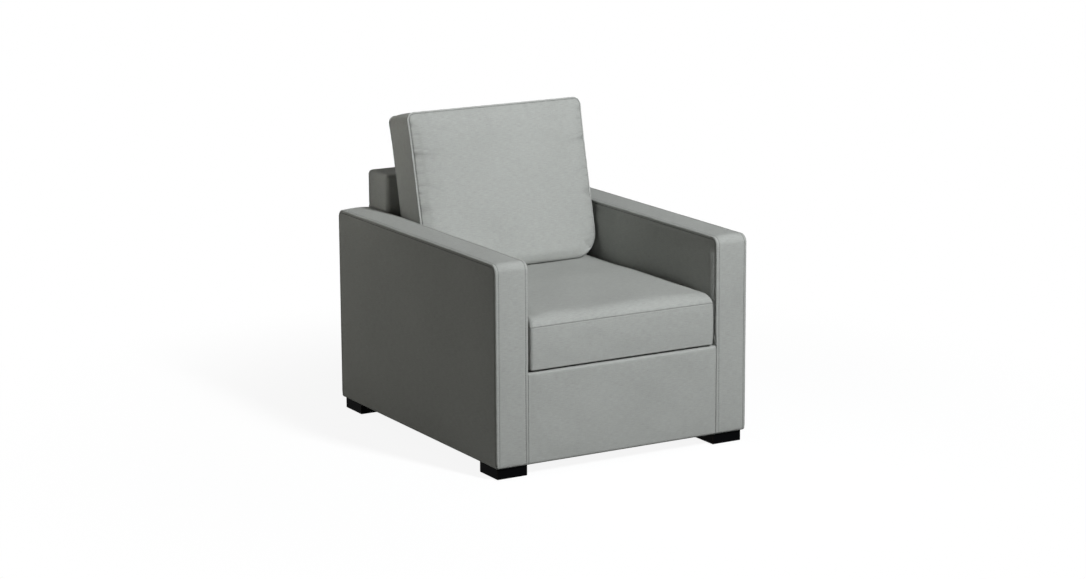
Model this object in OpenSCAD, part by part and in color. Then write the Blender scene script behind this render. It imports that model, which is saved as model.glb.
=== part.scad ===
// Upholstered armchair: a timber frame with zig-zag seat springs and back webbing, padded and covered
// panel by panel, with a loose seat cushion and a loose back cushion in zipped covers.
// Lengths are in millimetres and +Z is up. The chair faces -Y and its origin lies on the floor, at the
// middle of its footprint. Left and right are as seen from the front.

/* [Chair] */
// Width over both arms
chair_w = 840; // [780:5:960]
// Depth from the arm fronts to the outside back
chair_d = 972; // [900:4:1040]
// Height of the arms above the floor
arm_h = 622; // [580:2:680]
// Width of one arm
arm_w = 105; // [92:1:130]
// Radius of the arms' top corners, seen from the side
arm_corner_r = 24; // [14:1:34]
// Height of the frame back above the floor
back_h = 733; // [690:1:790]
// Depth of the frame back
back_t = 120; // [100:1:150]
// Radius along the front and rear top edges of the frame back
back_edge_r = 14; // [6:1:20]
// Height of the seat deck above the floor
deck_h = 301; // [270:1:330]
// Radius of the front edge roll of the seat deck
deck_roll_r = 12; // [6:1:20]
// Depth of the front edge roll, in front of the deck cloth
deck_roll_d = 60; // [45:1:80]

/* [Seat cushion] */
// Height of the seat cushion's boxing
seat_boxing = 123; // [90:1:150]
// Rise of the seat cushion's crown above its boxing
seat_crown = 34; // [10:1:45]
// Space between the seat cushion and each arm
seat_side_gap = 8; // [2:0.5:14]
// Radius of the seat cushion's upright corners
seat_corner_r = 18; // [8:1:30]

/* [Back cushion] */
// Space between the back cushion and each arm
cushion_side_gap = 15; // [8:1:40]
// Height of the back cushion along its slope
cushion_l = 492; // [430:2:560]
// Thickness of the back cushion's boxing
cushion_t = 120; // [90:1:140]
// Bulge of the back cushion's front panel
cushion_front = 26; // [10:1:36]
// Bulge of the back cushion's rear panel
cushion_rear = 34; // [15:1:40]
// Slope of the back cushion, in degrees
cushion_lean = 13; // [8:0.5:16]
// Radius of the back cushion's corners, seen from the front
cushion_corner_r = 20; // [8:1:35]

/* [Layers] */
// Thickness of the cover fabric with its lining
fabric_t = 2; // [1:0.5:3]
// Thickness of the padding under the arm, front and rear covers
pad_t = 11; // [7:0.5:14]
// Thickness of the lining boards on the arms
board_t = 3; // [2:0.5:4]
// Thickness of the padding over the crown of the springs
deck_pad_t = 11; // [8:0.5:16]
// Depth of the foam in front of the back webbing
back_foam_t = 29; // [20:1:34]
// Thickness of the padding on the sides of the frame back
back_side_t = 8; // [5:0.5:11]
// Thickness of the black cloth under the chair
dust_t = 1; // [0.5:0.5:1]
// Width of the covers folded under the frame
fold_l = 30; // [24:1:40]

/* [Frame] */
// Thickness of the frame timber
timber_t = 22; // [18:1:26]
// Height of the side rails and the rear rail
rail_h = 100; // [80:2:120]
// Height of the rail that holds the springs at the rear
spring_rail_h = 100; // [70:2:120]
// Height of the lower back rail
back_rail_h = 70; // [50:2:90]
// Length of the tenons on the rails
tenon_l = 14; // [8:1:18]
// Clearance between a tenon and its mortise
joint_clear = 0.2; // [0.1:0.05:0.5]
// Length of the corner blocks along the side rails
block_l = 90; // [70:2:110]
// Height of the corner blocks
block_h = 32; // [24:1:45]

/* [Springs and webbing] */
// Number of zig-zag springs
spring_n = 5; // [4:1:6]
// Diameter of the spring wire
wire_d = 4; // [3:0.25:4.5]
// Width of one zig-zag spring
spring_w = 50; // [44:1:60]
// Number of bends in one spring, an even number
spring_bends = 28; // [22:2:32]
// Rise of the springs' crown above their ends
spring_rise = 18; // [10:1:24]
// Thickness of the metal of the spring clips
clip_t = 1.5; // [1:0.1:2]
// Width of the spring clips
clip_w = 16; // [10:1:20]
// Width of the back webbing
web_w = 50; // [40:2:70]
// Thickness of the back webbing
web_t = 1.5; // [1:0.25:2]

/* [Feet] */
// Height of the feet
foot_h = 34; // [28:1:60]
// Width of a foot
foot_w = 98; // [80:1:110]
// Depth of a foot
foot_d = 102; // [80:1:120]
// Distance of the feet from the chair's sides
foot_inset_x = 8; // [4:1:20]
// Distance of the feet from the chair's front and rear
foot_inset_y = 12; // [6:1:24]
// Bevel along the edges of the feet
foot_bevel = 1.5; // [0.5:0.25:4]
// Diameter of the bolts that hold the feet
bolt_d = 8; // [6:1:10]
// Diameter of the glides under the feet
glide_d = 26; // [18:1:34]
// Height that the glides stand proud of the feet
glide_proud = 1; // [0.5:0.25:3]

/* [Zips] */
// Length of the seat cushion's zip
seat_zip_l = 520; // [400:10:560]
// Length of the back cushion's zip
cushion_zip_l = 480; // [380:10:500]
// Width of the zip tape that shows between the covers
zip_w = 14; // [12:1:18]

/* [Hidden] */
$fn = 32;

gap = 0.3;                                  // between pieces that move apart, and round the spring wire
cut = 1;                                    // overshoot of a cutting tool
arc_steps = 6;                              // straight steps in a rounded corner
crown_steps = 22;                           // straight steps across a crowned cushion face

// Planes of the covered body
x_out = chair_w / 2;                        // outer face of an arm
x_in = x_out - arm_w;                       // inner face of an arm
y_front = -chair_d / 2;
y_rear = chair_d / 2;
y_back = y_rear - back_t;                   // front face of the frame back
body_z = foot_h;                            // underside of the covered body
bottom_r = 8;                               // rounding of the covers' bottom corners

// Planes of the timber frame
skin = fabric_t + pad_t;                    // cover and padding
frame_z = body_z + fabric_t;                // underside of the timber, on the folded covers
frame_xi = x_in + skin + board_t;
frame_xo = x_out - skin - board_t;
frame_yf = y_front + skin;
frame_yr = y_rear - skin;
frame_top = arm_h - skin;                   // top of the arm frame

// Seat suspension
clip_ring = wire_d / 2 + gap + clip_t;      // outer radius of a clip's curl
rail_top = deck_h - fabric_t - deck_pad_t - 2 * gap - web_t - wire_d / 2 - spring_rise - clip_ring;
wire_z = rail_top + clip_ring;              // centre of the springs' ends
spring_rail_y = y_back + fabric_t + back_foam_t + 2 * web_t + gap;
wire_inset = clip_ring + 1;                 // from the rail's edge to the spring's end bar
spring_y0 = frame_yf + timber_t - wire_inset;
spring_y1 = spring_rail_y + wire_inset;
inner_z = rail_top + 4;                     // lower edge of the inside arm panels
tuck_z = inner_z + 10;                      // lower edge of the inside back panel

// Back frame
back_post_x = x_in - fabric_t - back_side_t;
back_top = back_h - skin;                   // top of the back's timber

// Feet and their bolts
foot_x = x_out - foot_inset_x - foot_w / 2;
foot_y = -y_front - foot_inset_y - foot_d / 2;
nut_barrel_d = bolt_d + 3;
nut_flange_d = bolt_d + 14;
nut_flange_t = 1.5;
bolt_depth = foot_h * 0.6;                  // length of a bolt inside its foot
bolt_clear = 0.1;
glide_recess = 1.5;

// Seat cushion
seat_z = deck_h + gap;
seat_w = 2 * (x_in - seat_side_gap);
seat_y1 = y_back - gap;
seat_d = seat_y1 - y_front;
seat_top = seat_z + seat_boxing + seat_crown;
seat_fullness = 14;                         // power of the seat cushion's crown
seat_edge_r = 7;                            // rounding of the front boxing seams

// Back cushion: it stands on the seat cushion and leans on the top edge of the frame back
cushion_w = 2 * (x_in - cushion_side_gap);
cushion_z = seat_top + gap;
lean_z = seat_top - cushion_t * sin(cushion_lean);
lean_y = y_back - cushion_rear / cos(cushion_lean)
    - (back_h - back_edge_r - lean_z) * tan(cushion_lean);
cushion_fullness = 8;                       // power of the back cushion's crowns
top_crown = 4;                              // rise of the back cushion's top boxing

// Zips
groove_w = zip_w + 12;                      // width of the groove that hides a zip
groove_d = 6;                               // depth of that groove
bead_r = 1.6;                               // radius of the zip's coil
stop_l = 4;                                 // length of a zip's end stop
slider_l = 13;                              // length of a slider's body
slider_h = 3.6;                             // height of a slider above the tape
tab_l = 16;                                 // length of a slider's pull tab
seat_zip_z = seat_z + seat_boxing / 2;
cushion_zip_y = lean_y - cushion_t / 2 * cos(cushion_lean)
    + (cushion_z - lean_z - cushion_t / 2 * sin(cushion_lean)) * tan(cushion_lean);

cover_grey = [0.55, 0.56, 0.55];
timber = [0.78, 0.63, 0.42];
foam = [0.93, 0.90, 0.80];
board = [0.62, 0.50, 0.36];
steel = [0.55, 0.56, 0.58];
black = [0.06, 0.05, 0.05];
nylon = [0.80, 0.79, 0.75];
zip_grey = [0.36, 0.37, 0.36];

// ---- Outlines and ways to extrude them ----

// Points on an arc about (cx, cy), from angle a0 to angle a1.
function arc(cx, cy, r, a0, a1) =
    [for (i = [0 : arc_steps]) let (a = a0 + (a1 - a0) * i / arc_steps) [cx + r * cos(a), cy + r * sin(a)]];

// A rectangle with bottom corners of radius rb and top corners of radius rt.
function rounded(x0, y0, x1, y1, rb, rt) = concat(
    arc(x0 + rb, y0 + rb, rb, 180, 270), arc(x1 - rb, y0 + rb, rb, 270, 360),
    arc(x1 - rt, y1 - rt, rt, 0, 90), arc(x0 + rt, y1 - rt, rt, 90, 180));

// Height of a crown at t, from -1 at one edge to 1 at the other: flat in the middle and rounded down
// at the edges, the more tightly the greater the power.
function crown(t, power) = sqrt(1 - pow(abs(t), power));

// Positions from -1 to 1 across a crowned face, closer together towards its edges.
function across() = [for (i = [0 : crown_steps]) sin(180 * i / crown_steps - 90)];

// Height of the springs' centre line at y.
function spring_z(y) =
    wire_z + spring_rise * (1 - pow((2 * y - spring_y0 - spring_y1) / (spring_y1 - spring_y0), 2));

// An outline drawn in Y and Z, extruded from x0 to x1.
module along_x(x0, x1) {
    translate([x0, 0, 0]) rotate([90, 0, 90]) linear_extrude(x1 - x0) children();
}

// An outline drawn in X and Z, extruded from y0 to y1.
module along_y(y0, y1) {
    translate([0, y1, 0]) rotate([90, 0, 0]) linear_extrude(y1 - y0) children();
}

// A box between two corners.
module box(low, high) {
    translate(low) cube(high - low);
}

// The right-hand piece, or its mirror image on the left.
module on_side(side) {
    mirror([side == "left" ? 1 : 0, 0, 0]) children();
}

// One copy in each corner, mirrored so that all four match.
module in_corners() {
    for (sx = [0, 1], sy = [0, 1]) mirror([sx, 0, 0]) mirror([0, sy, 0]) children();
}

// ---- Timber frame ----

// A rail across the chair between two members, with a tenon at each end.
module cross_rail(half, y0, z0, z1) {
    color(timber) union() {
        box([-half, y0, z0], [half, y0 + timber_t, z1]);
        box([-half - tenon_l, y0 + timber_t / 4, z0 + rail_h / 5],
            [half + tenon_l, y0 + timber_t * 3 / 4, z1 - rail_h / 5]);
    }
}

// The mortise that a rail's tenon fills, cut into the member beside it.
module cross_mortise(half, y0, z0, z1) {
    box([half - cut, y0 + timber_t / 4 - joint_clear, z0 + rail_h / 5 - joint_clear],
        [half + tenon_l + joint_clear, y0 + timber_t * 3 / 4 + joint_clear, z1 - rail_h / 5 + joint_clear]);
}

module front_rail() cross_rail(frame_xi, frame_yf, frame_z, rail_top);

module rear_rail() cross_rail(frame_xi, frame_yr - timber_t, frame_z, frame_z + rail_h);

module spring_rail() cross_rail(back_post_x - timber_t, spring_rail_y, rail_top - spring_rail_h, rail_top);

module back_lower_rail() cross_rail(back_post_x - timber_t, spring_rail_y, tuck_z, tuck_z + back_rail_h);

// A side rail stands at the outer face of the arm, tenoned into both posts.
module side_rail() {
    x0 = frame_xo - timber_t;
    y1 = frame_yr - timber_t;
    color(timber) union() {
        box([x0, -y1, frame_z], [frame_xo, y1, frame_z + rail_h]);
        box([x0 + timber_t / 4, -y1 - timber_t / 2, frame_z + rail_h / 5],
            [frame_xo - timber_t / 4, y1 + timber_t / 2, frame_z + rail_h * 4 / 5]);
    }
}

module side_mortise() {
    y1 = frame_yr - timber_t / 2 + joint_clear;
    box([frame_xo - timber_t * 3 / 4 - joint_clear, -y1, frame_z + rail_h / 5 - joint_clear],
        [frame_xo - timber_t / 4 + joint_clear, y1, frame_z + rail_h * 4 / 5 + joint_clear]);
}

// The stub tenon on a post's top, and with room round it the mortise in the arm's top rail.
module post_stub(y0, room) {
    inset = (frame_xo - frame_xi) / 4;
    box([frame_xi + inset - room, y0 + timber_t / 4 - room, frame_top - timber_t - cut],
        [frame_xo - inset + room, y0 + timber_t * 3 / 4 + room, frame_top - timber_t / 2 + room]);
}

module arm_post(y0) {
    color(timber) difference() {
        union() {
            box([frame_xi, y0, frame_z], [frame_xo, y0 + timber_t, frame_top - timber_t]);
            post_stub(y0, 0);
        }
        side_mortise();
        children();
    }
}

module arm_front_post() {
    arm_post(frame_yf) cross_mortise(frame_xi, frame_yf, frame_z, rail_top);
}

module arm_rear_post() {
    arm_post(frame_yr - timber_t) cross_mortise(frame_xi, frame_yr - timber_t, frame_z, frame_z + rail_h);
}

module arm_top_rail() {
    color(timber) difference() {
        box([frame_xi, frame_yf, frame_top - timber_t], [frame_xo, frame_yr, frame_top]);
        post_stub(frame_yf, joint_clear);
        post_stub(frame_yr - timber_t, joint_clear);
    }
}

// A back post is notched over the rear rail, with its toe cut back at a slant.
module back_post() {
    x0 = back_post_x - timber_t;
    color(timber) difference() {
        along_x(x0, back_post_x) polygon([
            [spring_rail_y, frame_z + rail_h / 2], [spring_rail_y + back_t / 5, frame_z],
            [frame_yr - timber_t, frame_z], [frame_yr - timber_t, frame_z + rail_h],
            [frame_yr, frame_z + rail_h], [frame_yr, back_top - timber_t],
            [spring_rail_y, back_top - timber_t]]);
        cross_mortise(x0, spring_rail_y, rail_top - spring_rail_h, rail_top);
        cross_mortise(x0, spring_rail_y, tuck_z, tuck_z + back_rail_h);
    }
}

module back_top_rail() {
    color(timber) along_x(-back_post_x, back_post_x)
        polygon(rounded(spring_rail_y, back_top - timber_t, frame_yr, back_top, 1, 4));
}

// The blocks glued into the bottom corners of the arms, which take the feet's bolts.
module corner_blocks() {
    x0 = frame_xi;
    x1 = frame_xo - timber_t;
    y0 = frame_yr - timber_t;
    color(timber) in_corners() difference() {
        translate([0, 0, frame_z]) linear_extrude(block_h)
            polygon([[x0, y0], [x1, y0], [x1, y0 - block_l], [x0 + (x1 - x0) / 2, y0 - block_l],
                     [x0, y0 - block_l * 2 / 3]]);
        translate([foot_x, foot_y, frame_z - cut]) cylinder(d = nut_barrel_d, h = block_h + 2 * cut);
    }
}

// ---- Lining boards ----

module arm_inner_board() {
    color(board) box([frame_xi - board_t, frame_yf, inner_z], [frame_xi, frame_yr, frame_top]);
}

module arm_outer_board() {
    color(board) box([frame_xo, frame_yf, frame_z], [frame_xo + board_t, frame_yr, frame_top]);
}

// The board and the wadding behind the frame fit inside the inside back panel's side walls.
module rear_layer(y0, y1) {
    half = x_in - fabric_t;
    box([-half, y0, frame_z], [half, y1, back_top - back_edge_r]);
}

module rear_board() color(board) rear_layer(frame_yr, frame_yr + board_t);

module rear_wadding() color(foam) rear_layer(frame_yr + board_t, y_rear - fabric_t);

// ---- Springs, webbing and deck ----

// The centre line of one zig-zag spring: bars across the chair joined by half-round bends.
function spring_path(x) = let (
        pitch = (spring_y1 - spring_y0) / spring_bends,
        reach = (spring_w - pitch) / 2,
        ends = [for (e = [0, 1]) let (y = e == 0 ? spring_y0 : spring_y1) [x - reach, y, spring_z(y)]],
        bends = [for (k = [0 : spring_bends - 1], j = [0 : 4]) let (
                side = k % 2 == 0 ? 1 : -1,
                a = -90 + 45 * j,
                y = spring_y0 + (k + 0.5) * pitch + pitch / 2 * sin(a))
            [x + side * (reach + pitch / 2 * cos(a)), y, spring_z(y)]])
    concat([ends[0]], bends, [ends[1]]);

// A round wire swept along a path that lies on the springs' arched surface.
module wire(path) {
    sides = 6;
    last = len(path) - 1;
    rings = [for (i = [0 : last]) let (
            run = path[min(i + 1, last)] - path[max(i - 1, 0)],
            along = run / norm(run),
            flat = cross(along, [0, 0, 1]),
            out = flat / norm(flat),
            up = cross(out, along))
        for (k = [0 : sides - 1]) let (a = 360 * k / sides)
            path[i] + wire_d / 2 * (cos(a) * out + sin(a) * up)];
    walls = [for (i = [0 : last - 1], k = [0 : sides - 1]) let (m = (k + 1) % sides)
        [i * sides + k, (i + 1) * sides + k, (i + 1) * sides + m, i * sides + m]];
    caps = [[for (k = [0 : sides - 1]) k], [for (k = [sides - 1 : -1 : 0]) last * sides + k]];
    polyhedron(rings, concat(walls, caps));
}

// Places each child at every spring's distance from the middle.
module at_springs() {
    pitch = 2 * (back_post_x - timber_t) / spring_n;
    for (i = [0 : spring_n - 1]) translate([(i - (spring_n - 1) / 2) * pitch, 0, 0]) children();
}

module seat_springs() {
    color(steel) at_springs() wire(spring_path(0));
}

// A clip: a plate nailed to the rail, curled up and over the spring's end bar.
module clip() {
    back = clip_ring + 12;
    color(steel) along_x(-clip_w / 2, clip_w / 2) translate([0, wire_z]) difference() {
        polygon(concat([[-clip_ring, -clip_ring + clip_t], [-back, -clip_ring + clip_t],
                        [-back, -clip_ring], [clip_ring, -clip_ring]],
                       arc(0, 0, clip_ring, 0, 180)));
        circle(r = wire_d / 2 + gap);
    }
}

module spring_clips() {
    at_springs() {
        translate([0, spring_y0, 0]) clip();
        translate([0, spring_y1, 0]) mirror([0, 1, 0]) clip();
    }
}

// Two tie wires run under the springs from side to side, at bars a third of the way from each end.
module spring_ties() {
    pitch = (spring_y1 - spring_y0) / spring_bends;
    third = round(spring_bends / 3);
    color(black) for (k = [third, spring_bends - third]) {
        y = spring_y0 + k * pitch;
        translate([-back_post_x, y, spring_z(y) - wire_d - gap])
            rotate([0, 90, 0]) cylinder(d = wire_d, h = 2 * back_post_x);
    }
}

// Upright straps on the back rails, and level straps in front of them on the posts.
module back_webbing() {
    strap_n = 3;
    y1 = spring_rail_y;
    half = back_post_x - timber_t;
    span_z = back_top - tuck_z;
    color(black) for (i = [0 : strap_n - 1]) {
        x = (i + 0.5) * 2 * half / strap_n - half;
        z = tuck_z + (i + 0.9) * span_z / (strap_n + 0.8);
        box([x - web_w / 2, y1 - web_t, tuck_z + 6], [x + web_w / 2, y1, back_top - timber_t / 4]);
        box([-back_post_x, y1 - 2 * web_t - gap, z - web_w / 2],
            [back_post_x, y1 - web_t - gap, z + web_w / 2]);
    }
}

// Points along the arched underside of the deck, raised above the springs' centre line.
function deck_arch(y0, y1, rise) = [for (t = across()) let (y = (y0 + y1) / 2 + t * (y1 - y0) / 2)
    [y, spring_z(y) + rise]];
function reversed(list) = [for (i = [len(list) - 1 : -1 : 0]) list[i]];
cloth_low = wire_d / 2 + gap;               // underside of the cloth above the springs' centre line

module spring_cloth() {
    y0 = spring_y0 + clip_ring + 1;
    y1 = spring_y1 - clip_ring - 1;
    color(board) along_x(-x_in, x_in)
        polygon(concat(deck_arch(y0, y1, cloth_low), reversed(deck_arch(y0, y1, cloth_low + web_t))));
}

roll_y = y_front + deck_roll_d;             // rear edge of the front edge roll

module deck_pad() {
    color(foam) along_x(-x_in, x_in)
        polygon(concat(deck_arch(roll_y, y_back, cloth_low + web_t + gap),
                       [[y_back, deck_h - fabric_t], [roll_y, deck_h - fabric_t]]));
}

module deck_cloth() {
    color(cover_grey) box([-x_in, roll_y, deck_h - fabric_t], [x_in, y_back, deck_h]);
}

// ---- Padding ----

// The front's outline in Y and Z, inset all round and open at the rear.
function front_outline(inset, rear) = concat(
    arc(y_front + bottom_r, body_z + bottom_r, bottom_r - inset, 270, 180),
    arc(y_front + deck_roll_r, deck_h - deck_roll_r, deck_roll_r - inset, 180, 90),
    [[rear, deck_h - inset], [rear, body_z + inset]]);

module front_pad() {
    color(foam) along_x(-x_in, x_in) difference() {
        polygon(front_outline(fabric_t, roll_y));
        translate([frame_yf, 0]) square([chair_d, wire_z + clip_ring + gap]);
        polygon(concat(deck_arch(spring_y0, roll_y + cut, cloth_low + web_t + gap),
                       [[roll_y + cut, 0], [spring_y0, 0]]));
    }
}

// A foam jacket over the arm's timber, open underneath and below the seat deck.
module arm_pad() {
    color(foam) difference() {
        along_x(x_in + fabric_t, x_out - fabric_t)
            polygon(arm_outline(fabric_t));
        box([frame_xi - board_t, frame_yf, 0], [frame_xo + board_t, frame_yr, frame_top]);
        box([0, frame_yf, 0], [frame_xo, frame_yr, inner_z]);
    }
}

// A foam jacket over the front, top and sides of the frame back.
module back_pad() {
    color(foam) difference() {
        along_x(fabric_t - x_in, x_in - fabric_t)
            polygon(rounded(y_back + fabric_t, tuck_z, y_rear - fabric_t, back_h - fabric_t,
                            1, back_edge_r - fabric_t));
        box([-back_post_x, y_back + fabric_t + back_foam_t, 0], [back_post_x, frame_yr + board_t, back_top]);
        box([-x_out, frame_yr, 0], [x_out, y_rear, back_top - back_edge_r]);
    }
}

// ---- Covers ----

// The arm's outline in Y and Z, inset all round.
function arm_outline(inset) = rounded(y_front + inset, body_z + inset, y_rear - inset, arm_h - inset,
    bottom_r - inset, arm_corner_r - inset);

// Removes the covers' undersides inside the strip that is folded under the frame.
module trim_fold() {
    translate([y_front + fold_l, 0]) square([chair_d - 2 * fold_l, body_z + fabric_t]);
}

// The outside panel covers the arm's whole side and folds under it.
module arm_outer_panel() {
    color(cover_grey) union() {
        along_x(x_out - fabric_t, x_out) polygon(arm_outline(0));
        box([x_out - fold_l, y_front + fold_l, body_z], [x_out, y_rear - fold_l, body_z + fabric_t]);
    }
}

// The inside panel stops below the deck, except for the strips beside the front and rear covers.
module arm_inner_panel() {
    color(cover_grey) along_x(x_in, x_in + fabric_t) difference() {
        polygon(arm_outline(0));
        translate([frame_yf, 0]) square([frame_yr - frame_yf, inner_z]);
    }
}

// One band of cover runs up the arm's front, along its top and down its rear, and folds under.
module arm_band() {
    color(cover_grey) along_x(x_in + fabric_t, x_out - fabric_t) difference() {
        polygon(arm_outline(0));
        polygon(arm_outline(fabric_t));
        trim_fold();
    }
}

// The front panel folds under the frame, rises, and turns back over the edge roll.
module front_panel() {
    color(cover_grey) along_x(-x_in, x_in) difference() {
        polygon(front_outline(0, roll_y));
        polygon(front_outline(fabric_t, roll_y + cut));
        trim_fold();
    }
}

function back_outline(inset, low) = rounded(y_back + inset, low, y_rear - inset, back_h - inset,
    1, back_edge_r - inset);

// The inside back is a cap over the foam: front, top and two sides.
module inside_back_panel() {
    color(cover_grey) difference() {
        along_x(-x_in, x_in) polygon(back_outline(0, tuck_z));
        along_x(fabric_t - x_in, x_in - fabric_t) polygon(back_outline(fabric_t, -deck_h));
        box([-x_out, y_rear - fabric_t, 0], [x_out, y_rear + cut, back_h - back_edge_r]);
    }
}

module outside_back_panel() {
    color(cover_grey) union() {
        box([-x_in, y_rear - fabric_t, body_z], [x_in, y_rear, back_h - back_edge_r]);
        box([-x_in, y_rear - fold_l, body_z], [x_in, y_rear, body_z + fabric_t]);
    }
}

module dust_cover() {
    color(black) difference() {
        box([fold_l - x_out, y_front + fold_l, frame_z - dust_t], [x_out - fold_l, y_rear - fold_l, frame_z]);
        in_corners() translate([foot_x, foot_y, 0]) cylinder(d = bolt_d + 4 * bolt_clear, h = deck_h);
    }
}

// ---- Feet ----

// A square block with bevelled edges, drilled for its bolt and recessed for its glide.
module foot(sx, sy) {
    color(black) translate([sx * foot_x, sy * foot_y, 0]) difference() {
        intersection() {
            along_x(-foot_w / 2, foot_w / 2) bevelled(foot_d, glide_proud, foot_h);
            along_y(-foot_d / 2, foot_d / 2) bevelled(foot_w, glide_proud, foot_h);
            linear_extrude(foot_h) bevelled(foot_w, -foot_d / 2, foot_d / 2);
        }
        translate([0, 0, foot_h - bolt_depth]) cylinder(d = bolt_d + 2 * bolt_clear, h = foot_h);
        cylinder(d = glide_d + 2 * bolt_clear, h = glide_proud + glide_recess);
    }
}

// A rectangle of width w from v0 to v1 with its corners cut off.
module bevelled(w, v0, v1) {
    b = foot_bevel;
    h = w / 2;
    polygon([[-h + b, v0], [h - b, v0], [h, v0 + b], [h, v1 - b],
             [h - b, v1], [-h + b, v1], [-h, v1 - b], [-h, v0 + b]]);
}

module foot_bolts() {
    color(steel) in_corners() translate([foot_x, foot_y, foot_h - bolt_depth + 1])
        cylinder(d = bolt_d, h = frame_z + block_h - (foot_h - bolt_depth + 1));
}

// Flanged nuts driven into the corner blocks from above.
module tee_nuts() {
    color(steel) in_corners() translate([foot_x, foot_y, frame_z + block_h / 2]) difference() {
        union() {
            cylinder(d = nut_barrel_d, h = block_h / 2);
            translate([0, 0, block_h / 2]) cylinder(d = nut_flange_d, h = nut_flange_t);
        }
        translate([0, 0, -cut]) cylinder(d = bolt_d + 2 * bolt_clear, h = block_h);
    }
}

module foot_glides() {
    color(nylon) in_corners() translate([foot_x, foot_y, 0])
        cylinder(d = glide_d, h = glide_proud + glide_recess);
}

// ---- Zips ----

// A zip along X with its tape's face at the origin, facing +Z.
module zip(l) {
    union() {
        box([-l / 2, -zip_w / 2, -fabric_t], [l / 2, zip_w / 2, 0]);
        translate([-l / 2, 0, 0]) rotate([0, 90, 0]) cylinder(r = bead_r, h = l);
        for (end = [-1, 1]) translate([end * (l - stop_l) / 2, 0, 0])
            box([-stop_l / 2, -bead_r - 1, -fabric_t], [stop_l / 2, bead_r + 1, bead_r + 0.8]);
    }
}

// The slider straddles the coil, with its pull tab lying along it.
module slider(l) {
    half = bead_r + 2.6;
    translate([-l / 2 + stop_l + 1, 0, 0]) difference() {
        union() {
            translate([0, 0, gap]) linear_extrude(slider_h - gap)
                polygon([[0, -half * 0.7], [slider_l * 0.4, -half], [slider_l, -half],
                         [slider_l, half], [slider_l * 0.4, half], [0, half * 0.7]]);
            box([slider_l * 0.5, -2, slider_h - 1], [slider_l + tab_l, 2, slider_h]);
        }
        translate([-cut, 0, 0]) rotate([0, 90, 0]) cylinder(r = bead_r + gap, h = slider_l + tab_l);
    }
}

// The groove that hides a zip, with its mouth at the origin, facing +Z, grown by room.
module zip_groove(l, room) {
    half_l = l / 2 + 6 + room;
    half_w = groove_w / 2 + room;
    box([-half_l, -half_w, -groove_d - room], [half_l, half_w, cut]);
}

// The slot in the cover that the zip's tape fills.
module zip_slot(l) {
    box([-l / 2, -zip_w / 2, -groove_d - fabric_t - cut], [l / 2, zip_w / 2, -groove_d + cut]);
}

// ---- Seat cushion ----

// The crowned cushion, inset all round.
module seat_form(inset) {
    x1 = seat_w / 2 - inset;
    y0 = y_front + inset;
    y1 = seat_y1 - inset;
    ym = (y0 + y1) / 2;
    z0 = seat_z + inset;
    z1 = seat_z + seat_boxing - inset;
    difference() {
        intersection() {
            along_x(-x1, x1) polygon(concat(
                [[y1, z0]], reversed(arc(y0 + seat_edge_r, z0 + seat_edge_r, seat_edge_r, 180, 270)),
                arc(y0 + seat_edge_r, z1 - seat_edge_r, seat_edge_r, 180, 120),
                [for (t = across()) if (t > -1)
                    [ym + t * (y1 - y0) / 2, z1 + seat_crown * crown(t, seat_fullness)]]));
            along_y(y0, y1) polygon(concat(
                [[x1, z0], [-x1, z0]],
                [for (t = across()) [t * x1, z1 + seat_crown * crown(t, seat_fullness)]]));
            linear_extrude(arm_h) polygon(rounded(-x1, y0, x1, y1, seat_corner_r, seat_corner_r / 2));
        }
        seat_zip_place() zip_groove(seat_zip_l, inset);
    }
}

module seat_zip_place() {
    translate([0, seat_y1, seat_zip_z]) rotate([-90, 0, 0]) children();
}

module seat_cushion_cover() {
    color(cover_grey) difference() {
        seat_form(0);
        seat_form(fabric_t);
        seat_zip_place() zip_slot(seat_zip_l);
    }
}

module seat_cushion_core() color(foam) seat_form(fabric_t);

module seat_cushion_zip() color(zip_grey) seat_zip_place() translate([0, 0, -groove_d]) zip(seat_zip_l);

module seat_zip_slider() color(steel) seat_zip_place() translate([0, 0, -groove_d]) slider(seat_zip_l);

// ---- Back cushion ----

// The crowned cushion, inset all round: flat where it stands on the seat cushion and where it
// leans on the frame back.
module cushion_form(inset) {
    x1 = cushion_w / 2 - inset;
    ya = -cushion_t + inset;
    yb = -inset;
    z1 = cushion_l - inset;
    front = [for (t = across()) [t, ya - cushion_front * crown(t, cushion_fullness)]];
    rear = [for (t = reversed(across())) [t, yb + cushion_rear * crown(t, cushion_fullness)]];
    top = [for (t = across()) if (abs(t) < 1)
        [(ya + yb + t * (yb - ya)) / 2, z1 + top_crown * crown(t, 2)]];
    difference() {
        translate([0, lean_y, lean_z]) rotate([-cushion_lean, 0, 0]) intersection() {
            along_x(-x1, x1) polygon(concat([for (p = front) [p[1], (p[0] + 1) * z1 / 2]], top,
                                            [for (p = rear) [p[1], (p[0] + 1) * z1 / 2]]));
            linear_extrude(2 * cushion_l) polygon([for (p = concat(front, rear)) [p[0] * x1, p[1]]]);
            along_y(-back_h, back_h)
                polygon(rounded(-x1, 0, x1, z1 + top_crown, cushion_corner_r, cushion_corner_r));
        }
        box([-chair_w, -chair_d, -chair_w], [chair_w, chair_d, cushion_z + inset]);
        box([-chair_w, y_back - gap - inset, 0], [chair_w, chair_d, back_h + gap + inset]);
        cushion_zip_place() zip_groove(cushion_zip_l, inset);
    }
}

module cushion_zip_place() {
    translate([0, cushion_zip_y, cushion_z]) rotate([180, 0, 0]) children();
}

module back_cushion_cover() {
    color(cover_grey) difference() {
        cushion_form(0);
        cushion_form(fabric_t);
        cushion_zip_place() zip_slot(cushion_zip_l);
    }
}

module back_cushion_core() color(foam) cushion_form(fabric_t);

module back_cushion_zip() color(zip_grey) cushion_zip_place() translate([0, 0, -groove_d]) zip(cushion_zip_l);

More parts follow.
